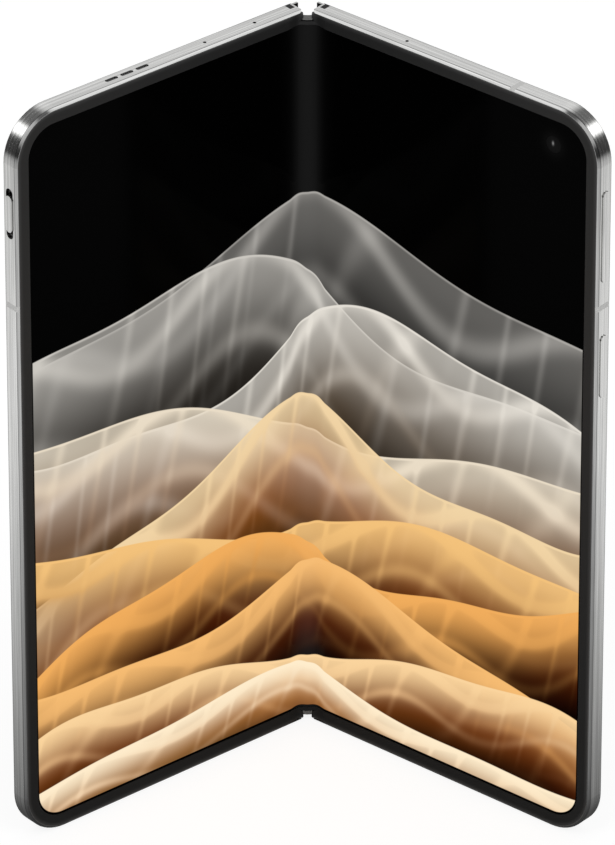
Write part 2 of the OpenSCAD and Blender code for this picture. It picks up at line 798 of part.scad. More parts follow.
module card_socket() {
    half = tray_slab_half + tray_room;
    room = tray_slab_t / 2 + tray_room;
    color(steel) on_leaf(-1) difference() {
        block(tray_x - half - cage_wall, tray_x + half + cage_wall, cavity_y,
              mid_y + room + cage_wall, rim_wall, tray_d + tray_end_gap + cage_wall);
        block(tray_x - half, tray_x + half, mid_y - room, mid_y + room,
              rim_wall - 1, tray_d + tray_end_gap);
    }
}

module rear_cover() {
    color([0.55, 0.56, 0.58]) on_leaf(1) difference() {
        back_panel();
        round_through(island_x, island_z, deck_hole_r + seat_gap, 0, leaf_t + 1);
    }
}

// Round camera deck, with a boss through the rear cover and a hole for each lens
module camera_deck() {
    color(glass) on_leaf(1) difference() {
        union() {
            round_through(island_x, island_z, deck_r, leaf_t, deck_top);
            round_through(island_x, island_z, deck_hole_r, glass_y, leaf_t);
        }
        for (p = lens_spots) round_through(p[0], p[1], barrel_r + 0.3, 0, leaf_t * 2);
        round_through(island_x, island_z, flash_r + seat_gap, deck_top - flash_t, leaf_t * 2);
    }
}

module camera_ring() {
    inner = deck_r + seat_gap;
    color(metal) on_leaf(1) translate([island_x, leaf_t, island_z]) rotate([-90, 0, 0])
        rotate_extrude() polygon([[inner, 0], [island_r, 0], [island_r, island_rise - 0.4],
                                  [island_r - 0.4, island_rise], [inner + 0.3, island_rise],
                                  [inner, island_rise - 0.3]]);
}

module camera_lenses() {
    inner = lens_r - lens_ring_w;
    color(steel) on_leaf(1) for (p = lens_spots) translate([p[0], deck_top, p[1]])
        rotate([-90, 0, 0]) {
            rotate_extrude() polygon([[inner, 0], [lens_r, 0], [lens_r, lens_ring_t - 0.2],
                                      [lens_r - 0.2, lens_ring_t], [inner, lens_ring_t]]);
            cylinder(r = inner - press_fit, h = lens_ring_t - 0.15);
        }
}

module camera_modules() {
    half = module_w / 2;
    color(dark) on_leaf(1) for (p = lens_spots) {
        block(p[0] - half, p[0] + half, cavity_y, cavity_y + module_t,
              p[1] - half, p[1] + half);
        round_through(p[0], p[1], barrel_r, cavity_y, deck_top - 0.05);
    }
}

module flash_lens() {
    color("white") on_leaf(1)
        round_through(island_x, island_z, flash_r, deck_top - flash_t, deck_top);
}

module right_battery() {
    color("dimgray") on_leaf(1)
        block(inner_x, leaf_w - side_room - 1.5, cavity_y, cavity_y + battery_t,
              right_battery_z, main_board_z - battery_gap);
}

module main_board() {
    half = module_w / 2 + 0.3;
    color("darkgreen") on_leaf(1) difference() {
        block(inner_x, leaf_w - side_room, cavity_y, cavity_y + board_t,
              main_board_z, main_board_top);
        for (p = lens_spots)
            block(p[0] - half, p[0] + half, 0, leaf_t, p[1] - half, p[1] + half);
        round_through(selfie_x, selfie_z, selfie_r + 1.8, 0, leaf_t);
    }
}

module board_shields() {
    y = cavity_y + board_t;
    z = main_board_z + shield_gap;
    color(steel) on_leaf(1) for (i = [0, 1])
        let (x = inner_x + shield_gap + i * (shield_w + shield_gap))
            block(x, x + shield_w, y, y + shield_t, z, z + shield_l);
}

module charging_socket() {
    color(steel) on_leaf(1) {
        difference() {
            edge_slot(usb_w + 2 * usb_wall, usb_h + 2 * usb_wall, usb_x, 0.1, usb_l);
            edge_slot(usb_w, usb_h, usb_x, -1, usb_l - usb_back);
        }
        block(usb_x - usb_tongue_w / 2, usb_x + usb_tongue_w / 2, mid_y - usb_tongue_t / 2,
              mid_y + usb_tongue_t / 2, rim_wall, usb_l - usb_back);
    }
}

module bottom_speaker() {
    color("dimgray") on_leaf(1)
        block(bottom_slot_x - slot_len / 2 - 1, leaf_w - corner_r, cavity_y,
              cavity_y + bottom_module_t, rim_wall, bottom_speaker_z);
}

module vibration_motor() {
    x = inner_x + 2;
    color(steel) on_leaf(1) block(x, x + motor_w, cavity_y, cavity_y + bottom_module_t,
                                  motor_z, motor_z + motor_l);
}

module charging_coil() {
    y = cavity_y + battery_t;
    color("peru") on_leaf(1) difference() {
        round_through(island_x, coil_z, coil_r, y, y + coil_t);
        round_through(island_x, coil_z, coil_hole_r, y - 1, y + 1);
    }
}

module inner_camera() {
    half = selfie_r + 0.5;
    color(glass) on_leaf(1) {
        round_through(selfie_x, selfie_z, selfie_r - 0.1, trim_rise + 0.05, cavity_y);
        block(selfie_x - half, selfie_x + half, cavity_y, cavity_y + selfie_t,
              selfie_z - half, selfie_z + half);
    }
}

// Key with round ends, and a lip at each end behind the rim that keeps it in
module key(length, z) {
    side_slot(length, key_w, key_lip_x - key_lip, leaf_w + key_proud, z);
    side_slot(length + 2 * key_lip, key_w, key_lip_x - key_lip, key_lip_x, z);
}

module volume_rocker() {
    color(metal) on_leaf(1) key(rocker_l, rocker_z);
}

module power_key() {
    color(metal) on_leaf(1) key(power_l, power_z);
}

module key_switches() {
    color(dark) on_leaf(1) for (z = [rocker_z - rocker_l / 3, rocker_z + rocker_l / 3, power_z])
        block(switch_x - switch_d, switch_x, cavity_y, cavity_y + switch_t,
              z - key_switch_l / 2, z + key_switch_l / 2);
}

spine_cover();
spine_end_caps();
hinge_brackets();
centre_plate();
hinge_pins();
disc_springs();
bracket_screws();
display_fold(-1);  // display_fold_left
display_fold(1);  // display_fold_right
fold_trim(-1);  // fold_trim_left
fold_trim(1);  // fold_trim_right
hinge_flex(-1);  // hinge_flex_left
hinge_flex(1);  // hinge_flex_right
idler_gears(-1);  // idler_gears_left
idler_gears(1);  // idler_gears_right
left_frame();
left_display();
leaf_trim(-1);  // left_trim
hinge_arms(-1);  // left_hinge_arms
arm_screws(-1);  // left_arm_screws
wing_plate(-1);  // left_wing_plate
cover_glass();
cover_display();
cover_camera();
left_battery();
left_board();
top_speaker();
antenna_splits(-1);  // left_antenna_splits
magnets(-1);  // left_magnets
mode_slider();
mode_switch();
card_tray();
card_socket();
right_frame();
right_display();
leaf_trim(1);  // right_trim
hinge_arms(1);  // right_hinge_arms
arm_screws(1);  // right_arm_screws
wing_plate(1);  // right_wing_plate
rear_cover();
camera_deck();
camera_ring();
camera_lenses();
camera_modules();
flash_lens();
right_battery();
main_board();
board_shields();
charging_socket();
bottom_speaker();
vibration_motor();
charging_coil();
inner_camera();
antenna_splits(1);  // right_antenna_splits
magnets(1);  // right_magnets
volume_rocker();
power_key();
key_switches();
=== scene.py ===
import bmesh
import bpy
import json
from math import cos, pi, radians, sin
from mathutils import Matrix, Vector


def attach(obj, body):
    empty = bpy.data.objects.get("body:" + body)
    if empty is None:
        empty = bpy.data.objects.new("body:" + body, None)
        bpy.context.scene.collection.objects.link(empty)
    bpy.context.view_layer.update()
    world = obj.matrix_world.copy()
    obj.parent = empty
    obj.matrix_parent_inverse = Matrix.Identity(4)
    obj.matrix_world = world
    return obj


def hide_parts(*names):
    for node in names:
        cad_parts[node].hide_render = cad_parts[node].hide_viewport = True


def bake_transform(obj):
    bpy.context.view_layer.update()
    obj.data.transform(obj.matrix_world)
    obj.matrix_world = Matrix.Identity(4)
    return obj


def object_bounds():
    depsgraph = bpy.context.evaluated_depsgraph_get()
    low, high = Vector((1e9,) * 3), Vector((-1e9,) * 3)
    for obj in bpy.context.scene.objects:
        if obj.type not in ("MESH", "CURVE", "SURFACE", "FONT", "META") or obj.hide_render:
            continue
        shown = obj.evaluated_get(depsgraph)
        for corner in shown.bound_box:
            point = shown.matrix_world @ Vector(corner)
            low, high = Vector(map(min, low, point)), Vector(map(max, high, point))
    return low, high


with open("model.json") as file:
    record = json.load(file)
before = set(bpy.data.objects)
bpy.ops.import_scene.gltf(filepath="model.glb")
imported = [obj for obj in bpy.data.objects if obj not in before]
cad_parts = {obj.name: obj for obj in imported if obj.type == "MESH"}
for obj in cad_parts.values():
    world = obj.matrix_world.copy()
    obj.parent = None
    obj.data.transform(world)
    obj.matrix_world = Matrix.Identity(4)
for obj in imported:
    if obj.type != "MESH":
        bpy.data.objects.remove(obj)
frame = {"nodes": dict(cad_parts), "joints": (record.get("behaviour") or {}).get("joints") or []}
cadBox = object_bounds()
nodes = frame["nodes"]
joints = {joint["name"]: joint for joint in frame["joints"]}
mm = 0.001
toMillimetres = (1000, 1000, 1000)
print("frame loaded:", len(nodes), "nodes")

# The right leaf's fold axis, in metres and radians; the left one mirrors it
hinge = {
    "pivotAcross": joints["right_fold"]["pos_m"][0],
    "pivotY": joints["right_fold"]["pos_m"][1],
    "pivotDepth": 1.6 * mm,
    "fold": radians(-joints["right_fold"]["range_deg"][0]),
}
hinge["frontY"] = hinge["pivotY"] - hinge["pivotDepth"]

# One leaf laid flat. Flat places are measured from the middle of the hinge, in millimetres: across
# to the side, depth from the front of the trim, up from the bottom edge
leaf = {
    "width": 72.8,
    "height": cadBox[1].z / mm,
    "thick": 4.2,
    "corner": 9.8,
    "bevel": 0.42,
    "trimInset": 0.5,
    "screenInset": 3.1,
}


# Node building

def addNode(tree, kind, settings=None, inputs=None):
    node = tree.nodes.new(kind)
    for name, value in (settings or {}).items():
        setattr(node, name, value)
    for name, value in (inputs or {}).items():
        if isinstance(value, bpy.types.NodeSocket):
            tree.links.new(value, node.inputs[name])
        else:
            node.inputs[name].default_value = value
    return node


def calc(tree, operation, first, second=0.0, third=0.0):
    node = addNode(tree, "ShaderNodeMath", {"operation": operation},
                   {0: first, 1: second, 2: third})
    return node.outputs[0]


def blendColour(tree, share, first, second, mode="MIX"):
    node = addNode(tree, "ShaderNodeMix", {"data_type": "RGBA", "blend_type": mode},
                   {0: share, 6: first, 7: second})
    return node.outputs[2]


def smoothBetween(tree, value, low, high, start=0.0, end=1.0):
    node = addNode(tree, "ShaderNodeMapRange", {"interpolation_type": "SMOOTHSTEP"},
                   {"Value": value, "From Min": low, "From Max": high, "To Min": start, "To Max": end})
    return node.outputs[0]


def mixValue(tree, share, first, second):
    return addNode(tree, "ShaderNodeMix", None, {0: share, 2: first, 3: second}).outputs[0]


def lengthOf(tree, first, second):
    squares = calc(tree, "MULTIPLY_ADD", first, first, calc(tree, "MULTIPLY", second, second))
    return calc(tree, "SQRT", squares)


def grey(tree, level):
    return addNode(tree, "ShaderNodeCombineColor", None, {0: level, 1: level, 2: level}).outputs[0]


def newGroup(name, inputs, outputs):
    group = bpy.data.node_groups.new(name, "ShaderNodeTree")
    for label, kind, value in inputs:
        socket = group.interface.new_socket(label, in_out="INPUT", socket_type=kind)
        socket.default_value = value
    for label, kind in outputs:
        group.interface.new_socket(label, in_out="OUTPUT", socket_type=kind)
    return group, group.nodes.new("NodeGroupInput").outputs, group.nodes.new("NodeGroupOutput").inputs


def useGroup(tree, group, **inputs):
    node = addNode(tree, "ShaderNodeGroup", {"node_tree": group},
                   {name.replace("_", " "): value for name, value in inputs.items()})
    return node.outputs


def newMaterial(name, **sockets):
    material = bpy.data.materials.new(name)
    material.use_nodes = True
    shader = material.node_tree.nodes["Principled BSDF"]
    for label, value in sockets.items():
        shader.inputs[label.replace("_", " ")].default_value = value
    return material, material.node_tree, shader


# Gives a shader the colour, the roughness and, unless it stays even, the bump that a group made
def dress(tree, shader, made, even=False):
    tree.links.new(made["Colour"], shader.inputs["Base Color"])
    tree.links.new(made["Roughness"], shader.inputs["Roughness"])
    if not even:
        tree.links.new(made["Normal"], shader.inputs["Normal"])


def objectPlace(tree):
    return addNode(tree, "ShaderNodeTexCoord").outputs["Object"]


def colour(red, green, blue):
    return (red, green, blue, 1.0)


# Across, depth and up in millimetres, with the leaf on that side laid flat
def flatPlace(tree, side):
    fold = hinge["fold"]
    across = (hinge["pivotAcross"] * (1 - cos(fold)) + hinge["pivotY"] * sin(fold)) / mm
    depth = (hinge["pivotDepth"] - hinge["pivotAcross"] * sin(fold) - hinge["pivotY"] * cos(fold)) / mm
    unfolded = addNode(tree, "ShaderNodeMapping", None, {
        "Vector": objectPlace(tree), "Scale": toMillimetres,
        "Location": (side * across, depth, 0), "Rotation": (0, 0, side * fold)})
    split = addNode(tree, "ShaderNodeSeparateXYZ", None, {0: unfolded.outputs[0]})
    return unfolded.outputs[0], split.outputs["X"], split.outputs["Y"], split.outputs["Z"]


# Across and up in millimetres on a strip that bends over the spine
def unrolledPlace(tree):
    unrolled = addNode(tree, "ShaderNodeUVMap", {"uv_map": "unrolled"})
    scaled = addNode(tree, "ShaderNodeMapping", None,
                     {"Vector": unrolled.outputs[0], "Scale": toMillimetres})
    split = addNode(tree, "ShaderNodeSeparateXYZ", None, {0: scaled.outputs[0]})
    return split.outputs["X"], split.outputs["Y"]


# Shared effects

# How far in from the rounded outline of a leaf or a picture a flat place is
def buildInset():
    group, given, made = newGroup(
        "insetFromEdge",
        [("Across", "NodeSocketFloat", 0.0), ("Up", "NodeSocketFloat", 0.0),
         ("Half Width", "NodeSocketFloat", 70.0), ("Low", "NodeSocketFloat", 0.0),
         ("High", "NodeSocketFloat", 160.0), ("Corner", "NodeSocketFloat", 9.0)],
        [("Inset", "NodeSocketFloat")])
    middle = calc(group, "MULTIPLY", calc(group, "ADD", given["Low"], given["High"]), 0.5)
    halfHeight = calc(group, "MULTIPLY", calc(group, "SUBTRACT", given["High"], given["Low"]), 0.5)
    overX = calc(group, "SUBTRACT", calc(group, "ABSOLUTE", given["Across"]),
                 calc(group, "SUBTRACT", given["Half Width"], given["Corner"]))
    fromMiddle = calc(group, "ABSOLUTE", calc(group, "SUBTRACT", given["Up"], middle))
    overZ = calc(group, "SUBTRACT", fromMiddle, calc(group, "SUBTRACT", halfHeight, given["Corner"]))
    reach = lengthOf(group, calc(group, "MAXIMUM", overX, 0.0), calc(group, "MAXIMUM", overZ, 0.0))
    within = calc(group, "MINIMUM", calc(group, "MAXIMUM", overX, overZ), 0.0)
    outside = calc(group, "ADD", reach, within)
    group.links.new(calc(group, "SUBTRACT", given["Corner"], outside), made["Inset"])
    return group


# Fine and broad noise in colour and roughness, and the fine noise in bump
grainMix = {
    "fineDetail": 3.0,
    "broadScale": 70.0,
    "broadDetail": 2.0,
    "broadShare": 0.4,
    "bump": 0.6,
}


surfaceOutputs = [("Colour", "NodeSocketColor"), ("Roughness", "NodeSocketFloat"),
                  ("Normal", "NodeSocketVector")]


def buildGrain():
    group, given, made = newGroup(
        "fineGrain",
        [("Place", "NodeSocketVector", (0, 0, 0)), ("Scale", "NodeSocketFloat", 4000.0),
         ("Colour", "NodeSocketColor", colour(0.5, 0.5, 0.5)), ("Tint", "NodeSocketFloat", 0.05),
         ("Roughness", "NodeSocketFloat", 0.4), ("Spread", "NodeSocketFloat", 0.05),
         ("Depth", "NodeSocketFloat", 0.00001)],
        surfaceOutputs)
    fine = addNode(group, "ShaderNodeTexNoise", None, {
        "Vector": given["Place"], "Scale": given["Scale"], "Detail": grainMix["fineDetail"]})
    broad = addNode(group, "ShaderNodeTexNoise", None, {
        "Vector": given["Place"], "Scale": grainMix["broadScale"], "Detail": grainMix["broadDetail"]})
    mixed = mixValue(group, grainMix["broadShare"], fine.outputs[0], broad.outputs[0])
    centred = calc(group, "SUBTRACT", mixed, 0.5)
    shade = calc(group, "MULTIPLY_ADD", centred, given["Tint"], 1.0)
    scaled = addNode(group, "ShaderNodeVectorMath", {"operation": "SCALE"},
                     {0: given["Colour"], "Scale": shade})
    group.links.new(scaled.outputs[0], made["Colour"])
    rough = calc(group, "MULTIPLY_ADD", centred, given["Spread"], given["Roughness"])
    group.links.new(rough, made["Roughness"])
    bump = addNode(group, "ShaderNodeBump", None,
                   {"Height": fine.outputs[0], "Distance": given["Depth"], "Strength": grainMix["bump"]})
    group.links.new(bump.outputs[0], made["Normal"])
    return group


insetFromEdge = buildInset()
grain = buildGrain()

# Metal of the rims: lines drawn along the rim, polished bevels with a dark line beside them, and
# painted shade inside every opening; ranges and offsets are in millimetres
rimFinish = {
    "face": (0.63, 0.63, 0.62),
    "bevel": (0.46, 0.46, 0.455),
    "bevelFades": (-0.03, 0.02),
    "opening": (0.10, 0.10, 0.10),
    "openingStarts": (0.08, 0.3),
    "openingClear": (0.1, 0.25),
    "faceRoughness": 0.19,
    "bevelRoughness": 0.12,
    "roughnessSpread": 0.12,
    "lineStretch": (0.02, 2.6, 0.02),
    "lineDetail": 2.0,
    "fineScale": 6.0,
    "fineShare": 0.4,
    "lineTint": 1.6,
    "lineDepth": 0.0000022,
    "lineBump": 0.5,
    "edgeLine": 0.34,
    "edgePlace": 0.1,
    "edgeFades": (0.06, 0.15),
}


def buildRim():
    group, given, made = newGroup(
        "drawnRim",
        [("Flat", "NodeSocketVector", (0, 0, 0)), ("Depth", "NodeSocketFloat", 2.0),
         ("Inset", "NodeSocketFloat", 0.0)],
        surfaceOutputs)
    stretched = addNode(group, "ShaderNodeVectorMath", {"operation": "MULTIPLY"},
                        {0: given["Flat"], 1: rimFinish["lineStretch"]})
    broad = addNode(group, "ShaderNodeTexNoise", None, {
        "Vector": stretched.outputs[0], "Scale": 1.0, "Detail": rimFinish["lineDetail"]})
    fine = addNode(group, "ShaderNodeTexNoise", None, {
        "Vector": stretched.outputs[0], "Scale": rimFinish["fineScale"], "Detail": rimFinish["lineDetail"]})
    lines = mixValue(group, rimFinish["fineShare"], broad.outputs[0], fine.outputs[0])
    centred = calc(group, "SUBTRACT", lines, 0.5)
    fromSide = calc(group, "MINIMUM", given["Depth"],
                    calc(group, "SUBTRACT", leaf["thick"], given["Depth"]))
    pastBevel = calc(group, "SUBTRACT", fromSide, leaf["bevel"])
    polished = smoothBetween(group, pastBevel, *rimFinish["bevelFades"], 1.0, 0.0)
    edge = calc(group, "ABSOLUTE", calc(group, "SUBTRACT", pastBevel, rimFinish["edgePlace"]))
    edge = smoothBetween(group, edge, *rimFinish["edgeFades"], rimFinish["edgeLine"], 1.0)
    tone = blendColour(group, polished, colour(*rimFinish["face"]), colour(*rimFinish["bevel"]))
    shade = calc(group, "MULTIPLY_ADD", centred, rimFinish["lineTint"], 1.0)
    shaded = addNode(group, "ShaderNodeVectorMath", {"operation": "SCALE"},
                     {0: tone, "Scale": calc(group, "MULTIPLY", edge, shade)})
    # Painted shade: the colour darkens inside openings, away from the bevels
    inside = calc(group, "MULTIPLY", smoothBetween(group, given["Inset"], *rimFinish["openingStarts"]),
                  smoothBetween(group, pastBevel, *rimFinish["openingClear"]))
    finished = blendColour(group, inside, shaded.outputs[0], colour(*rimFinish["opening"]))
    group.links.new(finished, made["Colour"])
    rough = mixValue(group, polished, rimFinish["faceRoughness"], rimFinish["bevelRoughness"])
    rough = calc(group, "MULTIPLY_ADD", centred, rimFinish["roughnessSpread"], rough)
    group.links.new(rough, made["Roughness"])
    bump = addNode(group, "ShaderNodeBump", None, {
        "Height": lines, "Distance": rimFinish["lineDepth"], "Strength": rimFinish["lineBump"]})
    group.links.new(bump.outputs[0], made["Normal"])
    return group


drawnRim = buildRim()


def rimMaterial(name, side):
    material, tree, shader = newMaterial(name, Metallic=1.0)
    flat, across, depth, up = flatPlace(tree, side)
    inset = useGroup(tree, insetFromEdge, Across=across, Up=up, Half_Width=leaf["width"],
                     High=leaf["height"], Corner=leaf["corner"])[0]
    drawn = useGroup(tree, drawnRim, Flat=flat, Depth=depth, Inset=inset)
    dress(tree, shader, drawn)
    return material


# Rubber trim round the inner display: a lighter outer lip, then fine dark rubber. The ranges are
# distances in from the leaf's edge, in millimetres
trimFinish = {
    "edge": 0.10,
    "lip": 0.036,
    "face": 0.017,
    "edgeFades": (leaf["trimInset"], 0.78),
    "lipFades": (0.75, 1.5),
    "roughness": 0.5,
    "grainScale": 7.0,
    "tint": 0.35,
    "spread": 0.15,
    "depth": 0.000006,
}


def trimMaterial(name, side):
    material, tree, shader = newMaterial(name, Specular_IOR_Level=0.25)
    if side:
        place, across, _, up = flatPlace(tree, side)
    else:
        across, up = unrolledPlace(tree)
        place = addNode(tree, "ShaderNodeCombineXYZ", None, {0: across, 2: up}).outputs[0]
    inset = useGroup(tree, insetFromEdge, Across=across, Up=up, Half_Width=leaf["width"],
                     High=leaf["height"], Corner=leaf["corner"])[0]
    lip = smoothBetween(tree, inset, *trimFinish["edgeFades"], trimFinish["edge"], trimFinish["lip"])
    onFace = smoothBetween(tree, inset, *trimFinish["lipFades"])
    tone = grey(tree, mixValue(tree, onFace, lip, trimFinish["face"]))
    worn = useGroup(tree, grain, Place=place, Scale=trimFinish["grainScale"], Colour=tone,
                    Tint=trimFinish["tint"], Roughness=trimFinish["roughness"],
                    Spread=trimFinish["spread"], Depth=trimFinish["depth"])
    dress(tree, shader, worn)
    return material


# The picture on the inner display, its lengths in millimetres: sheets of silk, from the back one to
# the front one, and a painted line of sheen along the crease
picture = {
    "halfWidth": 69.3,
    "low": 3.6,
    "high": 157.3,
    "corner": 5.8,
    "edgeFades": (-0.05, 0.08),
    "creaseSheen": 0.0080,
    "creaseSheenReach": 3.6,
    # crest, swell, length, phase, slope, fade, opacity, crest colour, body colour
    "layers": [
        (112, 7.0, 165, 1.45, 0.03, 50, 0.30, (0.40, 0.385, 0.36), (0.035, 0.032, 0.028)),
        (101, 9.0, 150, 2.90, -0.07, 46, 0.42, (0.60, 0.575, 0.53), (0.09, 0.075, 0.06)),
        (90, 8.0, 128, 0.30, 0.06, 42, 0.50, (0.78, 0.74, 0.67), (0.20, 0.12, 0.055)),
        (78, 9.0, 160, 4.20, -0.04, 38, 0.60, (0.82, 0.72, 0.57), (0.36, 0.13, 0.028)),
        (66, 8.0, 120, 1.90, 0.08, 34, 0.74, (0.88, 0.66, 0.38), (0.42, 0.115, 0.012)),
        (54, 7.0, 138, 5.20, -0.06, 30, 0.84, (0.90, 0.54, 0.20), (0.19, 0.036, 0.005)),
        (43, 6.5, 110, 3.30, 0.05, 26, 0.90, (0.88, 0.42, 0.11), (0.060, 0.010, 0.002)),
        (32, 5.5, 124, 0.90, -0.05, 24, 0.92, (0.92, 0.50, 0.17), (0.12, 0.022, 0.004)),
        (21, 4.5, 104, 4.70, 0.03, 20, 0.93, (0.96, 0.66, 0.34), (0.34, 0.09, 0.015)),
        (11, 3.0, 118, 2.40, -0.02, 15, 0.95, (1.0, 0.84, 0.60), (0.60, 0.26, 0.07)),
    ],
}


# One sheet of silk. Its folds run along the crest and crowd together towards it, and fine threads
# fall from the crest and drift sideways
silk = {
    "rippleRate": 2.3,
    "rippleSize": 0.28,
    "crestFades": (-0.15, 0.1),
    "edgeFades": (0.05, 0.7),
    "edgeCover": 0.5,
    "edgeGlow": 0.6,
    "folds": 15.0,
    "foldDrift": 2.2,
    "foldSharpness": 5.0,
    "foldGlow": 0.42,
    "threads": 11.0,
    "threadLean": 5.0,
    "threadDrift": 3.0,
    "threadSharpness": 14.0,
    "threadGlow": 0.20,
    "deepFrom": 0.62,
}


# Raises a wave to a power, so that only thin crests are left of it
def crestsOf(tree, phase, sharpness):
    wave = calc(tree, "MULTIPLY_ADD", calc(tree, "SINE", phase), 0.5, 0.5)
    return calc(tree, "POWER", wave, sharpness)


def buildWave():
    group, given, made = newGroup(
        "silkWave",
        [("Across", "NodeSocketFloat", 0.0), ("Up", "NodeSocketFloat", 0.0),
         ("Backdrop", "NodeSocketColor", colour(0, 0, 0)), ("Crest", "NodeSocketFloat", 80.0),
         ("Swell", "NodeSocketFloat", 8.0), ("Length", "NodeSocketFloat", 150.0),
         ("Phase", "NodeSocketFloat", 0.0), ("Slope", "NodeSocketFloat", 0.0),
         ("Fade", "NodeSocketFloat", 30.0), ("Opacity", "NodeSocketFloat", 0.8),
         ("Crest Colour", "NodeSocketColor", colour(0.8, 0.8, 0.8)),
         ("Body Colour", "NodeSocketColor", colour(0.4, 0.2, 0.1))],
        [("Colour", "NodeSocketColor")])
    turn = calc(group, "MULTIPLY", calc(group, "DIVIDE", given["Across"], given["Length"]), 2 * pi)
    main = calc(group, "SINE", calc(group, "ADD", turn, given["Phase"]))
    ripple = calc(group, "SINE", calc(group, "MULTIPLY_ADD", turn, silk["rippleRate"], given["Phase"]))
    lift = calc(group, "MULTIPLY", calc(group, "MULTIPLY_ADD", ripple, silk["rippleSize"], main),
                given["Swell"])
    tilt = calc(group, "MULTIPLY_ADD", given["Across"], given["Slope"], given["Crest"])
    depth = calc(group, "SUBTRACT", calc(group, "ADD", tilt, lift), given["Up"])
    inside = smoothBetween(group, depth, *silk["crestFades"])
    share = calc(group, "DIVIDE", depth, given["Fade"])
    body = smoothBetween(group, share, 0.0, 1.0, 1.0, 0.0)
    edge = smoothBetween(group, depth, *silk["edgeFades"], 1.0, 0.0)
    fold = calc(group, "ADD", calc(group, "MULTIPLY", share, silk["folds"]),
                calc(group, "MULTIPLY", ripple, silk["foldDrift"]))
    fold = crestsOf(group, fold, silk["foldSharpness"])
    thread = calc(group, "ADD", calc(group, "MULTIPLY", turn, silk["threads"]),
                  calc(group, "MULTIPLY", share, silk["threadLean"]))
    thread = calc(group, "MULTIPLY_ADD", ripple, silk["threadDrift"], thread)
    thread = crestsOf(group, thread, silk["threadSharpness"])
    glow = calc(group, "MULTIPLY", calc(group, "MULTIPLY", fold, body), silk["foldGlow"])
    glow = calc(group, "MULTIPLY_ADD", calc(group, "MULTIPLY", thread, body), silk["threadGlow"], glow)
    cover = calc(group, "MULTIPLY_ADD", body, given["Opacity"], glow)
    cover = calc(group, "MINIMUM", calc(group, "MULTIPLY_ADD", edge, silk["edgeCover"], cover), 1.0)
    cover = calc(group, "MULTIPLY", cover, inside)
    deep = smoothBetween(group, share, 0.0, silk["deepFrom"])
    tone = blendColour(group, deep, given["Crest Colour"], given["Body Colour"])
    shine = calc(group, "MULTIPLY_ADD", edge, silk["edgeGlow"], glow)
    lit = blendColour(group, shine, tone, given["Crest Colour"])
    group.links.new(blendColour(group, cover, given["Backdrop"], lit), made["Colour"])
    return group


silkWave = buildWave()


# The camera behind the inner display: a painted haze and a painted glint, both emitted though it is no
# lamp. Its middle is measured down from the top edge, and the glint from that middle, in millimetres
innerEye = {
    "across": 61.5,
    "down": 8.5,
    "paintedHaze": 0.0043,
    "hazeReach": 2.2,
    "paintedGlint": 0.22,
    "glintReach": 0.38,
    "glintNarrow": 1.8,
    "glintAcross": -0.15,
    "glintUp": 0.2,
    "black": 0.0006,
}


# A painted spot of light that fades outwards; narrow squeezes its width
def paintedGlowAt(tree, across, up, place, reach, level, narrow=1.0):
    x = calc(tree, "MULTIPLY", calc(tree, "SUBTRACT", across, place[0]), narrow / reach)
    z = calc(tree, "DIVIDE", calc(tree, "SUBTRACT", up, place[1]), reach)
    away = calc(tree, "MULTIPLY_ADD", x, x, calc(tree, "MULTIPLY", z, z))
    return calc(tree, "MULTIPLY", calc(tree, "EXPONENT", calc(tree, "MULTIPLY", away, -1.0)), level)


def paintedHazeRoundEye(tree, across, up):
    place = (innerEye["across"], leaf["height"] - innerEye["down"])
    return paintedGlowAt(tree, across, up, place, innerEye["hazeReach"], innerEye["paintedHaze"])


def buildPicture():
    group, given, made = newGroup("silkPicture",
                                  [("Across", "NodeSocketFloat", 0.0), ("Up", "NodeSocketFloat", 0.0)],
                                  [("Colour", "NodeSocketColor")])
    across = given["Across"]
    up = given["Up"]
    shown = colour(0, 0, 0)
    for crest, swell, length, phase, slope, fade, opacity, light, deep in picture["layers"]:
        shown = useGroup(group, silkWave, Across=across, Up=up, Backdrop=shown, Crest=crest, Swell=swell,
                         Length=length, Phase=phase, Slope=slope, Fade=fade, Opacity=opacity,
                         Crest_Colour=colour(*light), Body_Colour=colour(*deep))[0]
    # The lit area ends in rounded corners, a little inside the trim
    inset = useGroup(group, insetFromEdge, Across=across, Up=up, Half_Width=picture["halfWidth"],
                     Low=picture["low"], High=picture["high"], Corner=picture["corner"])[0]
    lit = smoothBetween(group, inset, *picture["edgeFades"])
    shown = blendColour(group, lit, colour(0, 0, 0), shown)
    # A painted sheen down the whole length of the crease, plus the painted haze round the camera
    near = calc(group, "DIVIDE", across, picture["creaseSheenReach"])
    paintedSheenAndHaze = calc(group, "EXPONENT", calc(group, "MULTIPLY", calc(group, "MULTIPLY", near, near), -1.0))
    paintedSheenAndHaze = calc(group, "MULTIPLY_ADD", paintedSheenAndHaze, picture["creaseSheen"], paintedHazeRoundEye(group, across, up))
    shown = blendColour(group, 1.0, shown, grey(group, paintedSheenAndHaze), "ADD")
    group.links.new(shown, made["Colour"])
    return group


silkPicture = buildPicture()


def screenMaterial(name, side):
    material, tree, shader = newMaterial(name, Base_Color=colour(0.0005, 0.0005, 0.0005), Roughness=0.1,
                                         Specular_IOR_Level=0.008, Emission_Strength=1.0)
    if side:
        _, across, _, up = flatPlace(tree, side)
    else:
        across, up = unrolledPlace(tree)
    shown = useGroup(tree, silkPicture, Across=across, Up=up)[0]
    tree.links.new(shown, shader.inputs["Emission Color"])
    return material


def grainedMaterial(name, tone, roughness, scale=4000.0, tint=0.08, spread=0.06, depth=0.000004,
                    **sockets):
    material, tree, shader = newMaterial(name, **sockets)
    worn = useGroup(tree, grain, Place=objectPlace(tree), Scale=scale, Colour=colour(*tone), Tint=tint,
                    Roughness=roughness, Spread=spread, Depth=depth)
    dress(tree, shader, worn)
    return material


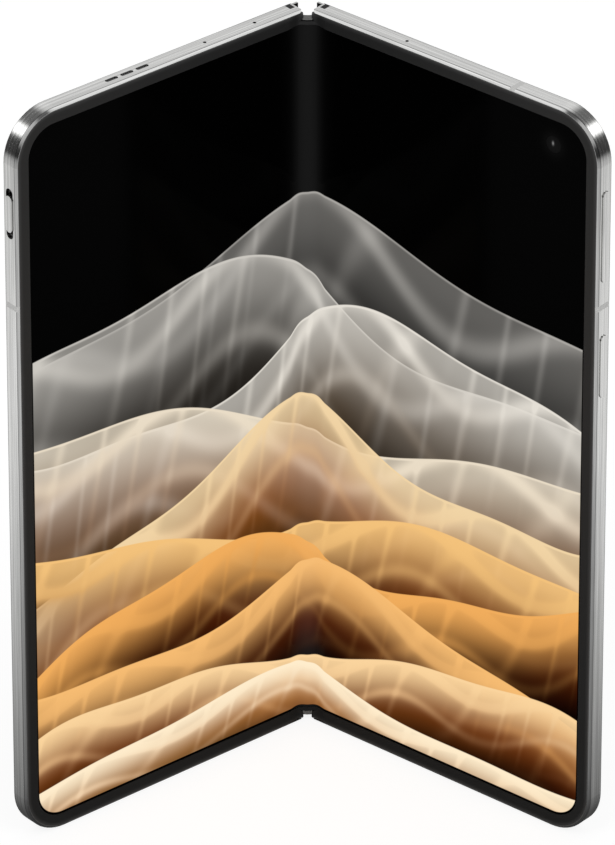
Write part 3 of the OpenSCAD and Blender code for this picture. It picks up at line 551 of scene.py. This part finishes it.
# Plastic that splits the metal rim: dark beside the hinge, pale on the outer sides; the range is
# a distance from the middle in metres
splitFinish = {
    "dark": (0.012, 0.012, 0.012),
    "pale": (0.56, 0.56, 0.55),
    "paleFrom": (0.012, 0.02),
}


def splitMaterial():
    material, tree, shader = newMaterial("splitPlastic", Specular_IOR_Level=0.15)
    split = addNode(tree, "ShaderNodeSeparateXYZ", None, {0: objectPlace(tree)})
    outer = smoothBetween(tree, calc(tree, "ABSOLUTE", split.outputs["X"]), *splitFinish["paleFrom"])
    tone = blendColour(tree, outer, colour(*splitFinish["dark"]), colour(*splitFinish["pale"]))
    worn = useGroup(tree, grain, Place=objectPlace(tree), Scale=3000.0, Colour=tone, Tint=0.1,
                    Roughness=0.4, Spread=0.06, Depth=0.000003)
    dress(tree, shader, worn)
    return material


# Polyimide film with copper traces along the cable
cableFinish = {
    "film": (0.13, 0.045, 0.008),
    "trace": (0.36, 0.15, 0.035),
    "tracePitch": 0.55,
    "traceFades": (-0.2, 0.2),
}


def cableMaterial():
    material, tree, shader = newMaterial("hingeCable", Coat_Weight=0.3)
    across, up = unrolledPlace(tree)
    place = addNode(tree, "ShaderNodeCombineXYZ", None, {0: across, 2: up}).outputs[0]
    trace = calc(tree, "SINE", calc(tree, "MULTIPLY", up, 2 * pi / cableFinish["tracePitch"]))
    trace = smoothBetween(tree, trace, *cableFinish["traceFades"])
    tone = blendColour(tree, trace, colour(*cableFinish["film"]), colour(*cableFinish["trace"]))
    worn = useGroup(tree, grain, Place=place, Scale=2.0, Colour=tone, Tint=0.15, Roughness=0.3,
                    Spread=0.1, Depth=0.000004)
    dress(tree, shader, worn, even=True)
    return material


def innerCameraMaterial():
    material, tree, shader = newMaterial("innerCamera", Specular_IOR_Level=0.02, Emission_Strength=1.0)
    _, across, _, up = flatPlace(tree, 1)
    # The camera glows though it is no lamp: a painted highlight and painted haze
    place = (innerEye["across"] + innerEye["glintAcross"],
             leaf["height"] - innerEye["down"] + innerEye["glintUp"])
    paintedGlint = paintedGlowAt(tree, across, up, place, innerEye["glintReach"], innerEye["paintedGlint"],
                   innerEye["glintNarrow"])
    level = calc(tree, "ADD", paintedGlint, paintedHazeRoundEye(tree, across, up))
    tree.links.new(grey(tree, level), shader.inputs["Emission Color"])
    black = colour(*[innerEye["black"]] * 3)
    worn = useGroup(tree, grain, Place=objectPlace(tree), Scale=4000.0, Colour=black, Tint=0.1,
                    Roughness=0.15, Spread=0.03, Depth=0.0)
    dress(tree, shader, worn, even=True)
    return material


# Rear lenses, in millimetres from the middle of each: a metal ring round dark glass, stepped rings
# in the barrel and a tinted middle. Their circle's middle is measured down from the top edge
rearEye = {
    "across": 40.5,
    "down": 31.9,
    "circle": 10.2,
    "turns": (90, 210, 330),
    "ringFrom": (4.95, 5.05),
    "ring": (0.5, 0.5, 0.5),
    "ringRoughness": 0.24,
    "stepPitch": 0.75,
    "stepFades": (0.2, 0.8),
    "stepsFrom": (2.2, 2.4),
    "step": (0.022, 0.022, 0.024),
    "barrel": (0.002, 0.002, 0.003),
    "middleFades": (0.6, 2.1),
    "middle": (0.012, 0.010, 0.045),
    "glassRoughness": 0.05,
}


def rearLensMaterial():
    material, tree, shader = newMaterial("cameraLens", Specular_IOR_Level=0.4)
    _, across, _, up = flatPlace(tree, 1)
    reach = 2 * rearEye["circle"]
    for turn in rearEye["turns"]:
        x = calc(tree, "SUBTRACT", across, rearEye["across"] + rearEye["circle"] * cos(radians(turn)))
        z = calc(tree, "SUBTRACT", up,
                 leaf["height"] - rearEye["down"] + rearEye["circle"] * sin(radians(turn)))
        reach = calc(tree, "MINIMUM", reach, lengthOf(tree, x, z))
    ring = smoothBetween(tree, reach, *rearEye["ringFrom"])
    steps = calc(tree, "SINE", calc(tree, "MULTIPLY", reach, 2 * pi / rearEye["stepPitch"]))
    steps = calc(tree, "MULTIPLY", smoothBetween(tree, steps, *rearEye["stepFades"]),
                 smoothBetween(tree, reach, *rearEye["stepsFrom"]))
    barrel = blendColour(tree, steps, colour(*rearEye["barrel"]), colour(*rearEye["step"]))
    middle = smoothBetween(tree, reach, *rearEye["middleFades"], 1.0, 0.0)
    glass = blendColour(tree, middle, barrel, colour(*rearEye["middle"]))
    tone = blendColour(tree, ring, glass, colour(*rearEye["ring"]))
    rough = smoothBetween(tree, ring, 0.0, 1.0, rearEye["glassRoughness"], rearEye["ringRoughness"])
    worn = useGroup(tree, grain, Place=objectPlace(tree), Scale=4000.0, Colour=tone, Tint=0.08,
                    Roughness=rough, Spread=0.04, Depth=0.0)
    dress(tree, shader, worn, even=True)
    tree.links.new(ring, shader.inputs["Metallic"])
    return material


# Woven steel behind the speaker slots, its pitch in metres
weave = {
    "pitch": 0.0003,
    "wireFades": (0.3, 0.6),
    "wire": (0.30, 0.30, 0.30),
    "gap": (0.02, 0.02, 0.02),
}


def meshMaterial():
    material, tree, shader = newMaterial("speakerMesh", Metallic=0.6)
    place = objectPlace(tree)
    split = addNode(tree, "ShaderNodeSeparateXYZ", None, {0: place})
    waves = []
    for axis in ("X", "Y"):
        phase = calc(tree, "MULTIPLY", split.outputs[axis], pi / weave["pitch"])
        waves.append(calc(tree, "ABSOLUTE", calc(tree, "SINE", phase)))
    wire = smoothBetween(tree, calc(tree, "MINIMUM", *waves), *weave["wireFades"], 1.0, 0.0)
    tone = blendColour(tree, wire, colour(*weave["gap"]), colour(*weave["wire"]))
    worn = useGroup(tree, grain, Place=place, Scale=3000.0, Colour=tone, Tint=0.2, Roughness=0.5,
                    Spread=0.1, Depth=0.000004)
    dress(tree, shader, worn, even=True)
    return material


rims = {side: rimMaterial(name, side) for side, name in ((-1, "leftRim"), (1, "rightRim"))}
trims = {side: trimMaterial(name, side)
         for side, name in ((-1, "leftTrimRubber"), (1, "rightTrimRubber"), (0, "foldTrimRubber"))}
screens = {side: screenMaterial(name, side)
           for side, name in ((-1, "leftScreen"), (1, "rightScreen"), (0, "foldScreen"))}
splitPlastic = splitMaterial()
cableFilm = cableMaterial()
innerLens = innerCameraMaterial()
rearLens = rearLensMaterial()
speakerMesh = meshMaterial()
spineMetal = grainedMaterial("spineMetal", (0.58, 0.58, 0.58), 0.28, tint=0.1, Metallic=1.0)
machinedSteel = grainedMaterial("machinedSteel", (0.5, 0.5, 0.5), 0.35, scale=900.0, Metallic=1.0)
gearSteel = grainedMaterial("gearSteel", (0.55, 0.5, 0.42), 0.3, scale=900.0, Metallic=1.0)
ringMetal = grainedMaterial("ringMetal", (0.7, 0.7, 0.69), 0.2, tint=0.1, Metallic=1.0)
capPlastic = grainedMaterial("capPlastic", (0.15, 0.15, 0.147), 0.4, tint=0.2)
# Near-black: painted shadow in the recess round the cap
capShadow = grainedMaterial("capShadow", (0.004, 0.004, 0.004), 0.6, tint=0.2, Specular_IOR_Level=0.05)
moduleBlack = grainedMaterial("moduleBlack", (0.02, 0.02, 0.022), 0.5)
foilPouch = grainedMaterial("foilPouch", (0.03, 0.03, 0.033), 0.45, scale=300.0, depth=0.00002)
solderMask = grainedMaterial("solderMask", (0.01, 0.06, 0.035), 0.35)
shieldTin = grainedMaterial("shieldTin", (0.55, 0.55, 0.55), 0.3, scale=600.0, Metallic=1.0)
copperWinding = grainedMaterial("copperWinding", (0.7, 0.3, 0.14), 0.3, Metallic=1.0)
rearGlass = grainedMaterial("rearGlass", (0.40, 0.405, 0.41), 0.36, tint=0.04, Metallic=0.55,
                            Coat_Weight=0.4, Coat_Roughness=0.25)
blackGlass = grainedMaterial("blackGlass", (0.004, 0.004, 0.005), 0.06, tint=0.1, spread=0.02,
                             depth=0.0, Specular_IOR_Level=0.4)
flashDiffuser = grainedMaterial("flashDiffuser", (0.85, 0.82, 0.7), 0.3, scale=900.0)

finishes = {
    rims[-1]: ["left_frame", "mode_slider", "card_tray"],
    rims[1]: ["right_frame", "volume_rocker", "power_key"],
    ringMetal: ["camera_ring"],
    spineMetal: ["spine_cover", "spine_end_caps"],
    machinedSteel: ["hinge_brackets", "centre_plate", "hinge_pins", "disc_springs", "bracket_screws",
                    "left_arm_screws", "right_arm_screws", "left_wing_plate", "right_wing_plate"],
    gearSteel: ["idler_gears_left", "idler_gears_right", "left_hinge_arms", "right_hinge_arms"],
    trims[-1]: ["left_trim"],
    trims[1]: ["right_trim"],
    trims[0]: ["fold_trim_left", "fold_trim_right"],
    splitPlastic: ["left_antenna_splits", "right_antenna_splits"],
    screens[-1]: ["left_display"],
    screens[1]: ["right_display"],
    screens[0]: ["display_fold_left", "display_fold_right"],
    moduleBlack: ["top_speaker", "bottom_speaker", "camera_modules", "mode_switch", "key_switches"],
    foilPouch: ["left_battery", "right_battery"],
    solderMask: ["left_board", "main_board"],
    shieldTin: ["board_shields", "charging_socket", "card_socket", "vibration_motor", "left_magnets",
                "right_magnets"],
    copperWinding: ["charging_coil"],
    cableFilm: ["hinge_flex_left", "hinge_flex_right"],
    rearGlass: ["rear_cover"],
    blackGlass: ["cover_glass", "cover_display", "cover_camera", "camera_deck"],
    rearLens: ["camera_lenses"],
    innerLens: ["inner_camera"],
    flashDiffuser: ["flash_lens"],
}
for finish, names in finishes.items():
    for name in names:
        nodes[name].data.materials.clear()
        nodes[name].data.materials.append(finish)
print("finishes given to", sum(len(names) for names in finishes.values()), "nodes")


# Modelling helpers

def selectWhere(piece, wanted):
    shape = bmesh.from_edit_mesh(piece.data)
    for vertex in shape.verts:
        vertex.select = wanted(vertex.co)
    shape.select_flush(True)
    bmesh.update_edit_mesh(piece.data)


def makeActive(piece):
    bpy.ops.object.select_all(action="DESELECT")
    piece.select_set(True)
    bpy.context.view_layer.objects.active = piece


# A block on one side of the hinge, its ranges in flat millimetres
def flatBlock(name, side, acrossRange, depthRange, upRange):
    sizes = [(high - low) * mm for low, high in (acrossRange, depthRange, upRange)]
    middle = [(high + low) / 2 * mm for low, high in (acrossRange, depthRange, upRange)]
    bpy.ops.object.select_all(action="DESELECT")
    bpy.ops.mesh.primitive_cube_add(
        size=1, location=(side * middle[0], hinge["frontY"] + middle[1], middle[2]), scale=sizes)
    piece = bpy.context.object
    piece.name = name
    bpy.ops.object.transform_apply(location=True, rotation=True, scale=True)
    return piece


# Bevels the edges whose middle, in flat millimetres, and direction pass a test
def bevelEdges(piece, side, width, steps, wanted):
    bpy.ops.object.mode_set(mode="EDIT")
    bpy.ops.mesh.select_mode(type="EDGE")
    shape = bmesh.from_edit_mesh(piece.data)
    for vertex in shape.verts:
        vertex.select = False
    for edge in shape.edges:
        start, end = edge.verts[0].co, edge.verts[1].co
        middle = (start + end) / 2
        run = (end - start).normalized()
        edge.select = wanted(side * middle.x / mm, (middle.y - hinge["frontY"]) / mm, middle.z / mm, run)
    shape.select_flush_mode()
    bmesh.update_edit_mesh(piece.data)
    bpy.ops.mesh.bevel(offset=width * mm, segments=steps, affect="EDGES")
    bpy.ops.mesh.select_mode(type="VERT")
    bpy.ops.object.mode_set(mode="OBJECT")


# Swings a piece that was modelled flat to where its leaf stands
def swingPiece(piece, side):
    makeActive(piece)
    bpy.ops.object.mode_set(mode="EDIT")
    bpy.ops.mesh.select_all(action="SELECT")
    pivot = (side * hinge["pivotAcross"], hinge["pivotY"], 0)
    bpy.ops.transform.rotate(value=side * hinge["fold"], orient_axis="Z", center_override=pivot)
    bpy.ops.object.mode_set(mode="OBJECT")


# Strips that bend over the spine: the free display, its trims and the hinge cables
strips = {
    "columns": 22,
    "halvings": 40,
    "smoothBelow": 25,
    "reach": 5.4,
    "back": 0.55,
    "screenFront": 0.2,
    "cableReach": 13.9,
    "cableBend": 3.6,
    "cableDepth": 1.95,
    "cableThick": 0.12,
    "cableWidth": 14.0,
    "cableHeights": (50.65, 110.25),
}
height = leaf["height"]


# How far from the middle a flat point stands once it has turned about the fold axis, in metres
def turnedAcross(across, depth, turn):
    pivot = hinge["pivotAcross"]
    return pivot + (across - pivot) * cos(turn) + (depth - hinge["pivotDepth"]) * sin(turn)


# Share of the fold that a flat point takes, so that laid flat again it is where it was modelled
def takeUp(across, depth, end):
    low, high = 0.0, 1.0
    for _ in range(strips["halvings"]):
        share = (low + high) / 2
        along = min(max(turnedAcross(across, depth, share * hinge["fold"]) / end, 0.0), 1.0)
        if along * along * (3 - 2 * along) > share:
            low = share
        else:
            high = share
    return (low + high) / 2


# Bends a flat strip over the spine. The bend ends bend millimetres from the
# middle, and front is the depth of the strip's front face
def seatStrip(strip, side, node, bend, front, finish):
    end = turnedAcross(bend * mm, front * mm, hinge["fold"])
    makeActive(strip)
    bpy.ops.object.mode_set(mode="EDIT")
    for step in range(1, strips["columns"] + 1):
        bpy.ops.mesh.select_all(action="SELECT")
        cut = side * (bend * mm) * step / strips["columns"]
        bpy.ops.mesh.bisect(plane_co=(cut, 0, 0), plane_no=(1, 0, 0))
    bpy.ops.object.mode_set(mode="OBJECT")
    unrolled = strip.data.uv_layers.new(name="unrolled")
    for loop in strip.data.loops:
        place = strip.data.vertices[loop.vertex_index].co
        unrolled.data[loop.index].uv = (place.x, place.z)
    # Each column of points turns about the fold axis by its share of the fold
    rows = {}
    for vertex in strip.data.vertices:
        key = (round(abs(vertex.co.x) / mm, 4), round((vertex.co.y - hinge["frontY"]) / mm, 4))
        rows.setdefault(key, []).append(vertex.index)
    bpy.ops.object.mode_set(mode="EDIT")
    pivot = (side * hinge["pivotAcross"], hinge["pivotY"], 0)
    for (across, depth), members in rows.items():
        turn = side * takeUp(across * mm, depth * mm, end) * hinge["fold"]
        bpy.ops.mesh.select_all(action="DESELECT")
        shape = bmesh.from_edit_mesh(strip.data)
        shape.verts.ensure_lookup_table()
        for index in members:
            shape.verts[index].select = True
        shape.select_flush(True)
        bmesh.update_edit_mesh(strip.data)
        bpy.ops.transform.rotate(value=turn, orient_axis="Z", center_override=pivot)
    bpy.ops.object.mode_set(mode="OBJECT")
    bpy.ops.object.shade_smooth_by_angle(angle=radians(strips["smoothBelow"]))
    strip.data.materials.append(finish)
    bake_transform(strip)
    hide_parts(node)


for side, word in ((-1, "Left"), (1, "Right")):
    screenDepths = (strips["screenFront"], strips["back"])
    strip = flatBlock("foldScreen" + word, side, (0, strips["reach"]), screenDepths,
                      (leaf["screenInset"], height - leaf["screenInset"]))
    seatStrip(strip, side, "display_fold_" + word.lower(), strips["reach"], 0, screens[0])
    cableDepths = (strips["cableDepth"], strips["cableDepth"] + strips["cableThick"])
    half = strips["cableWidth"] / 2
    for number, middle in enumerate(strips["cableHeights"]):
        cable = flatBlock("hingeCable" + word + str(number + 1), side, (0, strips["cableReach"]),
                          cableDepths, (middle - half, middle + half))
        seatStrip(cable, side, "hinge_flex_" + word.lower(), strips["cableBend"],
                  strips["cableDepth"], cableFilm)
print("fold screens and hinge cables made")

# Trim across the spine, at both ends: a thin band beside the display, the rounded ends of the
# leaves' raised trims, and between them a cap that stands in a recess coloured near-black as painted
# shadow. Heights are measured from the nearer end of the leaf
crossing = {
    "inner": 3.07,
    "bandWidth": 0.75,
    "bandFront": 0.03,
    "fingerStart": 0.95,
    "innerRound": 1.1,
    "innerSteps": 8,
    "outerRound": 0.3,
    "outerSteps": 4,
    "outerBeyond": 1.5,
    "edgeRound": 0.1,
    "edgeSteps": 2,
    "recessReach": 2.4,
    "recessFront": 0.42,
    "recessPastSeam": 0.3,
    "capOuter": 1.2,
    "capReach": 1.1,
    "capFront": 0.14,
    "capSlope": 0.1,
    "groove": 0.24,
}
seam = crossing["inner"] - crossing["bandWidth"]
touching = 0.01


def fromEnd(end, low, high):
    return (low, high) if end == "Foot" else (height - high, height - low)


def runsAlong(run, axis):
    return abs(run[axis]) > 0.9


def makeBand(side, word, end):
    return flatBlock("foldBand" + word + end, side, (0, strips["reach"]),
                     (crossing["bandFront"], strips["back"]), fromEnd(end, seam, crossing["inner"]))


# The rounded end of a leaf's trim
def makeFinger(side, word, end):
    start, reach = crossing["fingerStart"], strips["reach"]
    seamUp = fromEnd(end, seam, seam)[0]
    finger = flatBlock("foldTrim" + word + end, side, (start, reach), (0, strips["back"]),
                       fromEnd(end, leaf["trimInset"], seam))

    def isCorner(across, run):
        return across < start + touching and runsAlong(run, 1)

    def fromSeam(up):
        return abs(up - seamUp)

    bevelEdges(finger, side, crossing["innerRound"], crossing["innerSteps"],
               lambda across, depth, up, run: isCorner(across, run) and fromSeam(up) < touching)
    bevelEdges(finger, side, crossing["outerRound"], crossing["outerSteps"],
               lambda across, depth, up, run: isCorner(across, run)
               and fromSeam(up) > crossing["outerBeyond"])
    bevelEdges(finger, side, crossing["edgeRound"], crossing["edgeSteps"],
               lambda across, depth, up, run: depth < touching and across < reach - touching
               and not (runsAlong(run, 0) and fromSeam(up) < touching))
    return finger


# A block behind the cap that carries painted shadow
def makeRecess(side, word, end):
    return flatBlock("foldRecess" + word + end, side, (0, crossing["recessReach"]),
                     (crossing["recessFront"], strips["back"] - touching),
                     fromEnd(end, crossing["capOuter"], seam + crossing["recessPastSeam"]))


# The cap's front slopes back towards the end of the leaf
def makeCap(side, word, end):
    cap = flatBlock("foldCap" + word + end, side, (0, crossing["capReach"]),
                    (crossing["capFront"], crossing["recessFront"]),
                    fromEnd(end, crossing["capOuter"], seam - crossing["groove"]))
    outerUp = fromEnd(end, crossing["capOuter"], crossing["capOuter"])[0] * mm
    middleY = hinge["frontY"] + (crossing["capFront"] + crossing["recessFront"]) / 2 * mm
    bpy.ops.object.mode_set(mode="EDIT")
    selectWhere(cap, lambda place: place.y < middleY and abs(place.z - outerUp) < touching * mm)
    bpy.ops.transform.translate(value=(0, crossing["capSlope"] * mm, 0))
    bpy.ops.object.mode_set(mode="OBJECT")
    return cap


for side, word in ((-1, "Left"), (1, "Right")):
    for end in ("Foot", "Top"):
        pieces = [
            (makeBand(side, word, end), trims[0]),
            (makeFinger(side, word, end), trims[0]),
            (makeRecess(side, word, end), capShadow),
            (makeCap(side, word, end), capPlastic),
        ]
        for piece, finish in pieces:
            seatStrip(piece, side, "fold_trim_" + word.lower(), strips["reach"], 0, finish)
print("trim across the spine made")

# Woven mesh a little way inside each speaker slot; a slot is its side, its end and how far across
mesh = {
    "depth": 2.1,
    "length": 2.96,
    "width": 0.86,
    "sunk": 0.3,
    "thick": 0.1,
    "roundSteps": 6,
    "slots": [(-1, "Top", 40.15), (-1, "Top", 43.9), (-1, "Top", 47.65),
              (1, "Foot", 49.0), (1, "Foot", 52.75), (1, "Foot", 56.5), (1, "Foot", 60.25)],
}
halfLength = mesh["length"] / 2
halfWidth = mesh["width"] / 2
for number, (side, end, middle) in enumerate(mesh["slots"]):
    plate = flatBlock("speakerMesh" + str(number + 1), side, (middle - halfLength, middle + halfLength),
                      (mesh["depth"] - halfWidth, mesh["depth"] + halfWidth),
                      fromEnd(end, mesh["sunk"], mesh["sunk"] + mesh["thick"]))
    bevelEdges(plate, side, halfWidth - touching, mesh["roundSteps"],
               lambda across, depth, up, run: runsAlong(run, 2))
    swingPiece(plate, side)
    plate.data.materials.append(speakerMesh)
    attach(plate, "right_leaf" if side > 0 else "left_leaf")
print("speaker meshes made")

# Studio: a white floor, and a soft surround that metal shows as light cards with dark gaps between
studio = {
    "floorSize": 12.0,
    "floorTone": (0.82, 0.82, 0.82),
    "floorShadow": 0.18,  # share of the floor that takes shade in view
    "floorWhite": 1.05,
    # What metal shows of the floor: distance from the object in metres, level there; the dark rings nearest
    # the object are painted shade under it
    "floorRings": [(0.061, 0.07), (0.077, 0.29), (0.14, 0.62), (0.21, 1.0), (0.26, 1.0), (0.34, 0.74),
                   (0.6, 0.45), (0.99, 0.05)],
    "fill": 0.62,
    # What metal shows of the sky: height of the direction, level there
    "skyBands": [(0.25, 0.07), (0.6, 0.17), (0.95, 0.24)],
    # direction, full within and gone beyond in degrees, level added; below 0 it is a dark gap
    "cards": [
        ((0.0, 0.863, 0.505), 9, 27, 0.82),
        ((0.0, 0.880, 0.4746), 0, 2.0, -0.30),
        ((0.0, -0.80, 0.60), 12, 34, 0.80),
        ((0.77, 0.02, 0.64), 8, 20, 1.25),
        ((-0.77, 0.02, 0.64), 8, 20, 1.25),
        ((0.82, 0.20, 0.54), 4, 13, 1.5),
        ((-0.82, 0.20, 0.54), 4, 13, 1.5),
    ],
    # name, place, size, watts
    "lamps": [
        ("keyPanel", (-0.9, -1.1, 1.7), 0.9, 9.0),
        ("fillPanel", (1.1, -0.9, 1.4), 0.9, 6.0),
    ],
    "lampsAimAt": (0, 0, 0.08),
}


# A ramp of grey levels, read at a value
def greyRamp(tree, value, stops):
    node = addNode(tree, "ShaderNodeValToRGB", None, {"Fac": value})
    elements = node.color_ramp.elements
    elements.remove(elements[-1])
    for number, (position, level) in enumerate(stops):
        element = elements.new(position) if number else elements[0]
        element.position = position
        element.color = colour(level, level, level)
    return addNode(tree, "ShaderNodeSeparateColor", None, {0: node.outputs[0]}).outputs[0]


# Rays from the camera, straight or through glass
def inSight(tree, ray):
    return calc(tree, "MAXIMUM", ray["Is Camera Ray"], ray["Is Transmission Ray"])


def whiteGlow(tree, strength):
    return addNode(tree, "ShaderNodeEmission", None,
                   {"Color": colour(1, 1, 1), "Strength": strength}).outputs[0]


def mixShader(tree, share, first, second):
    return addNode(tree, "ShaderNodeMixShader", None, {0: share, 1: first, 2: second}).outputs[0]


# White in sight, but for a share that takes the object's shadow; rings of light and dark in metal, the
# darkest nearest the object as painted shade under it
def floorMaterial():
    material, tree, shader = newMaterial("paleFloor", Base_Color=colour(*studio["floorTone"]),
                                         Roughness=0.9, Specular_IOR_Level=0.0)
    ray = addNode(tree, "ShaderNodeLightPath").outputs
    matte = addNode(tree, "ShaderNodeBsdfDiffuse", None, {"Color": colour(1, 1, 1)}).outputs[0]
    seen = mixShader(tree, studio["floorShadow"], whiteGlow(tree, studio["floorWhite"]), matte)
    away = addNode(tree, "ShaderNodeVectorMath", {"operation": "LENGTH"},
                   {0: objectPlace(tree)}).outputs["Value"]
    mirrored = whiteGlow(tree, greyRamp(tree, away, studio["floorRings"]))
    plain = mixShader(tree, inSight(tree, ray), shader.outputs[0], seen)
    final = mixShader(tree, ray["Is Glossy Ray"], plain, mirrored)
    tree.links.new(final, tree.nodes["Material Output"].inputs["Surface"])
    return material


bpy.ops.object.select_all(action="DESELECT")
bpy.ops.mesh.primitive_plane_add(size=studio["floorSize"], location=(0, 0, 0))
floor = bpy.context.object
floor.name = "studioFloor"
floor.data.materials.append(floorMaterial())


# White in sight, bands and cards in metal, and an even fill for the rest
def buildSky(tree):
    direction = addNode(tree, "ShaderNodeTexCoord").outputs["Generated"]
    steep = addNode(tree, "ShaderNodeSeparateXYZ", None, {0: direction}).outputs["Z"]
    level = greyRamp(tree, steep, studio["skyBands"])
    for card, full, gone, added in studio["cards"]:
        near = addNode(tree, "ShaderNodeVectorMath", {"operation": "DOT_PRODUCT"},
                       {0: direction, 1: Vector(card).normalized()}).outputs["Value"]
        shown = smoothBetween(tree, near, cos(radians(gone)), cos(radians(full)), 0.0, added)
        level = calc(tree, "ADD", level, shown)
    ray = addNode(tree, "ShaderNodeLightPath").outputs
    level = mixValue(tree, ray["Is Glossy Ray"], studio["fill"], level)
    level = mixValue(tree, inSight(tree, ray), level, 1.0)
    tree.links.new(grey(tree, level), tree.nodes["Background"].inputs["Color"])


world = bpy.data.worlds.new("studio")
bpy.context.scene.world = world
world.use_nodes = True
world.cycles.sampling_method = "NONE"
buildSky(world.node_tree)

for name, place, size, watts in studio["lamps"]:
    data = bpy.data.lights.new(name, "AREA")
    data.size = size
    data.energy = watts
    lamp = bpy.data.objects.new(name, data)
    bpy.context.scene.collection.objects.link(lamp)
    lamp.location = place
    aim = Vector(studio["lampsAimAt"]) - Vector(place)
    lamp.rotation_euler = aim.to_track_quat("-Z", "Y").to_euler()
    lamp.visible_camera = False
    lamp.visible_glossy = False

# A long lens, pitched down by degrees, that gives the display the photographed outline
camera = {
    "lens": 437.9,
    "place": (0, -1.7252, 1.0927),
    "down": 30.39,
}
eye = bpy.data.objects.new("camera", bpy.data.cameras.new("camera"))
bpy.context.scene.collection.objects.link(eye)
eye.location = camera["place"]
eye.rotation_euler = (radians(90 - camera["down"]), 0, 0)
eye.data.lens = camera["lens"]
eye.data.sensor_width = 36
eye.data.clip_end = 30
bpy.context.scene.camera = eye
bpy.context.scene.view_settings.view_transform = "Standard"
print("studio set")
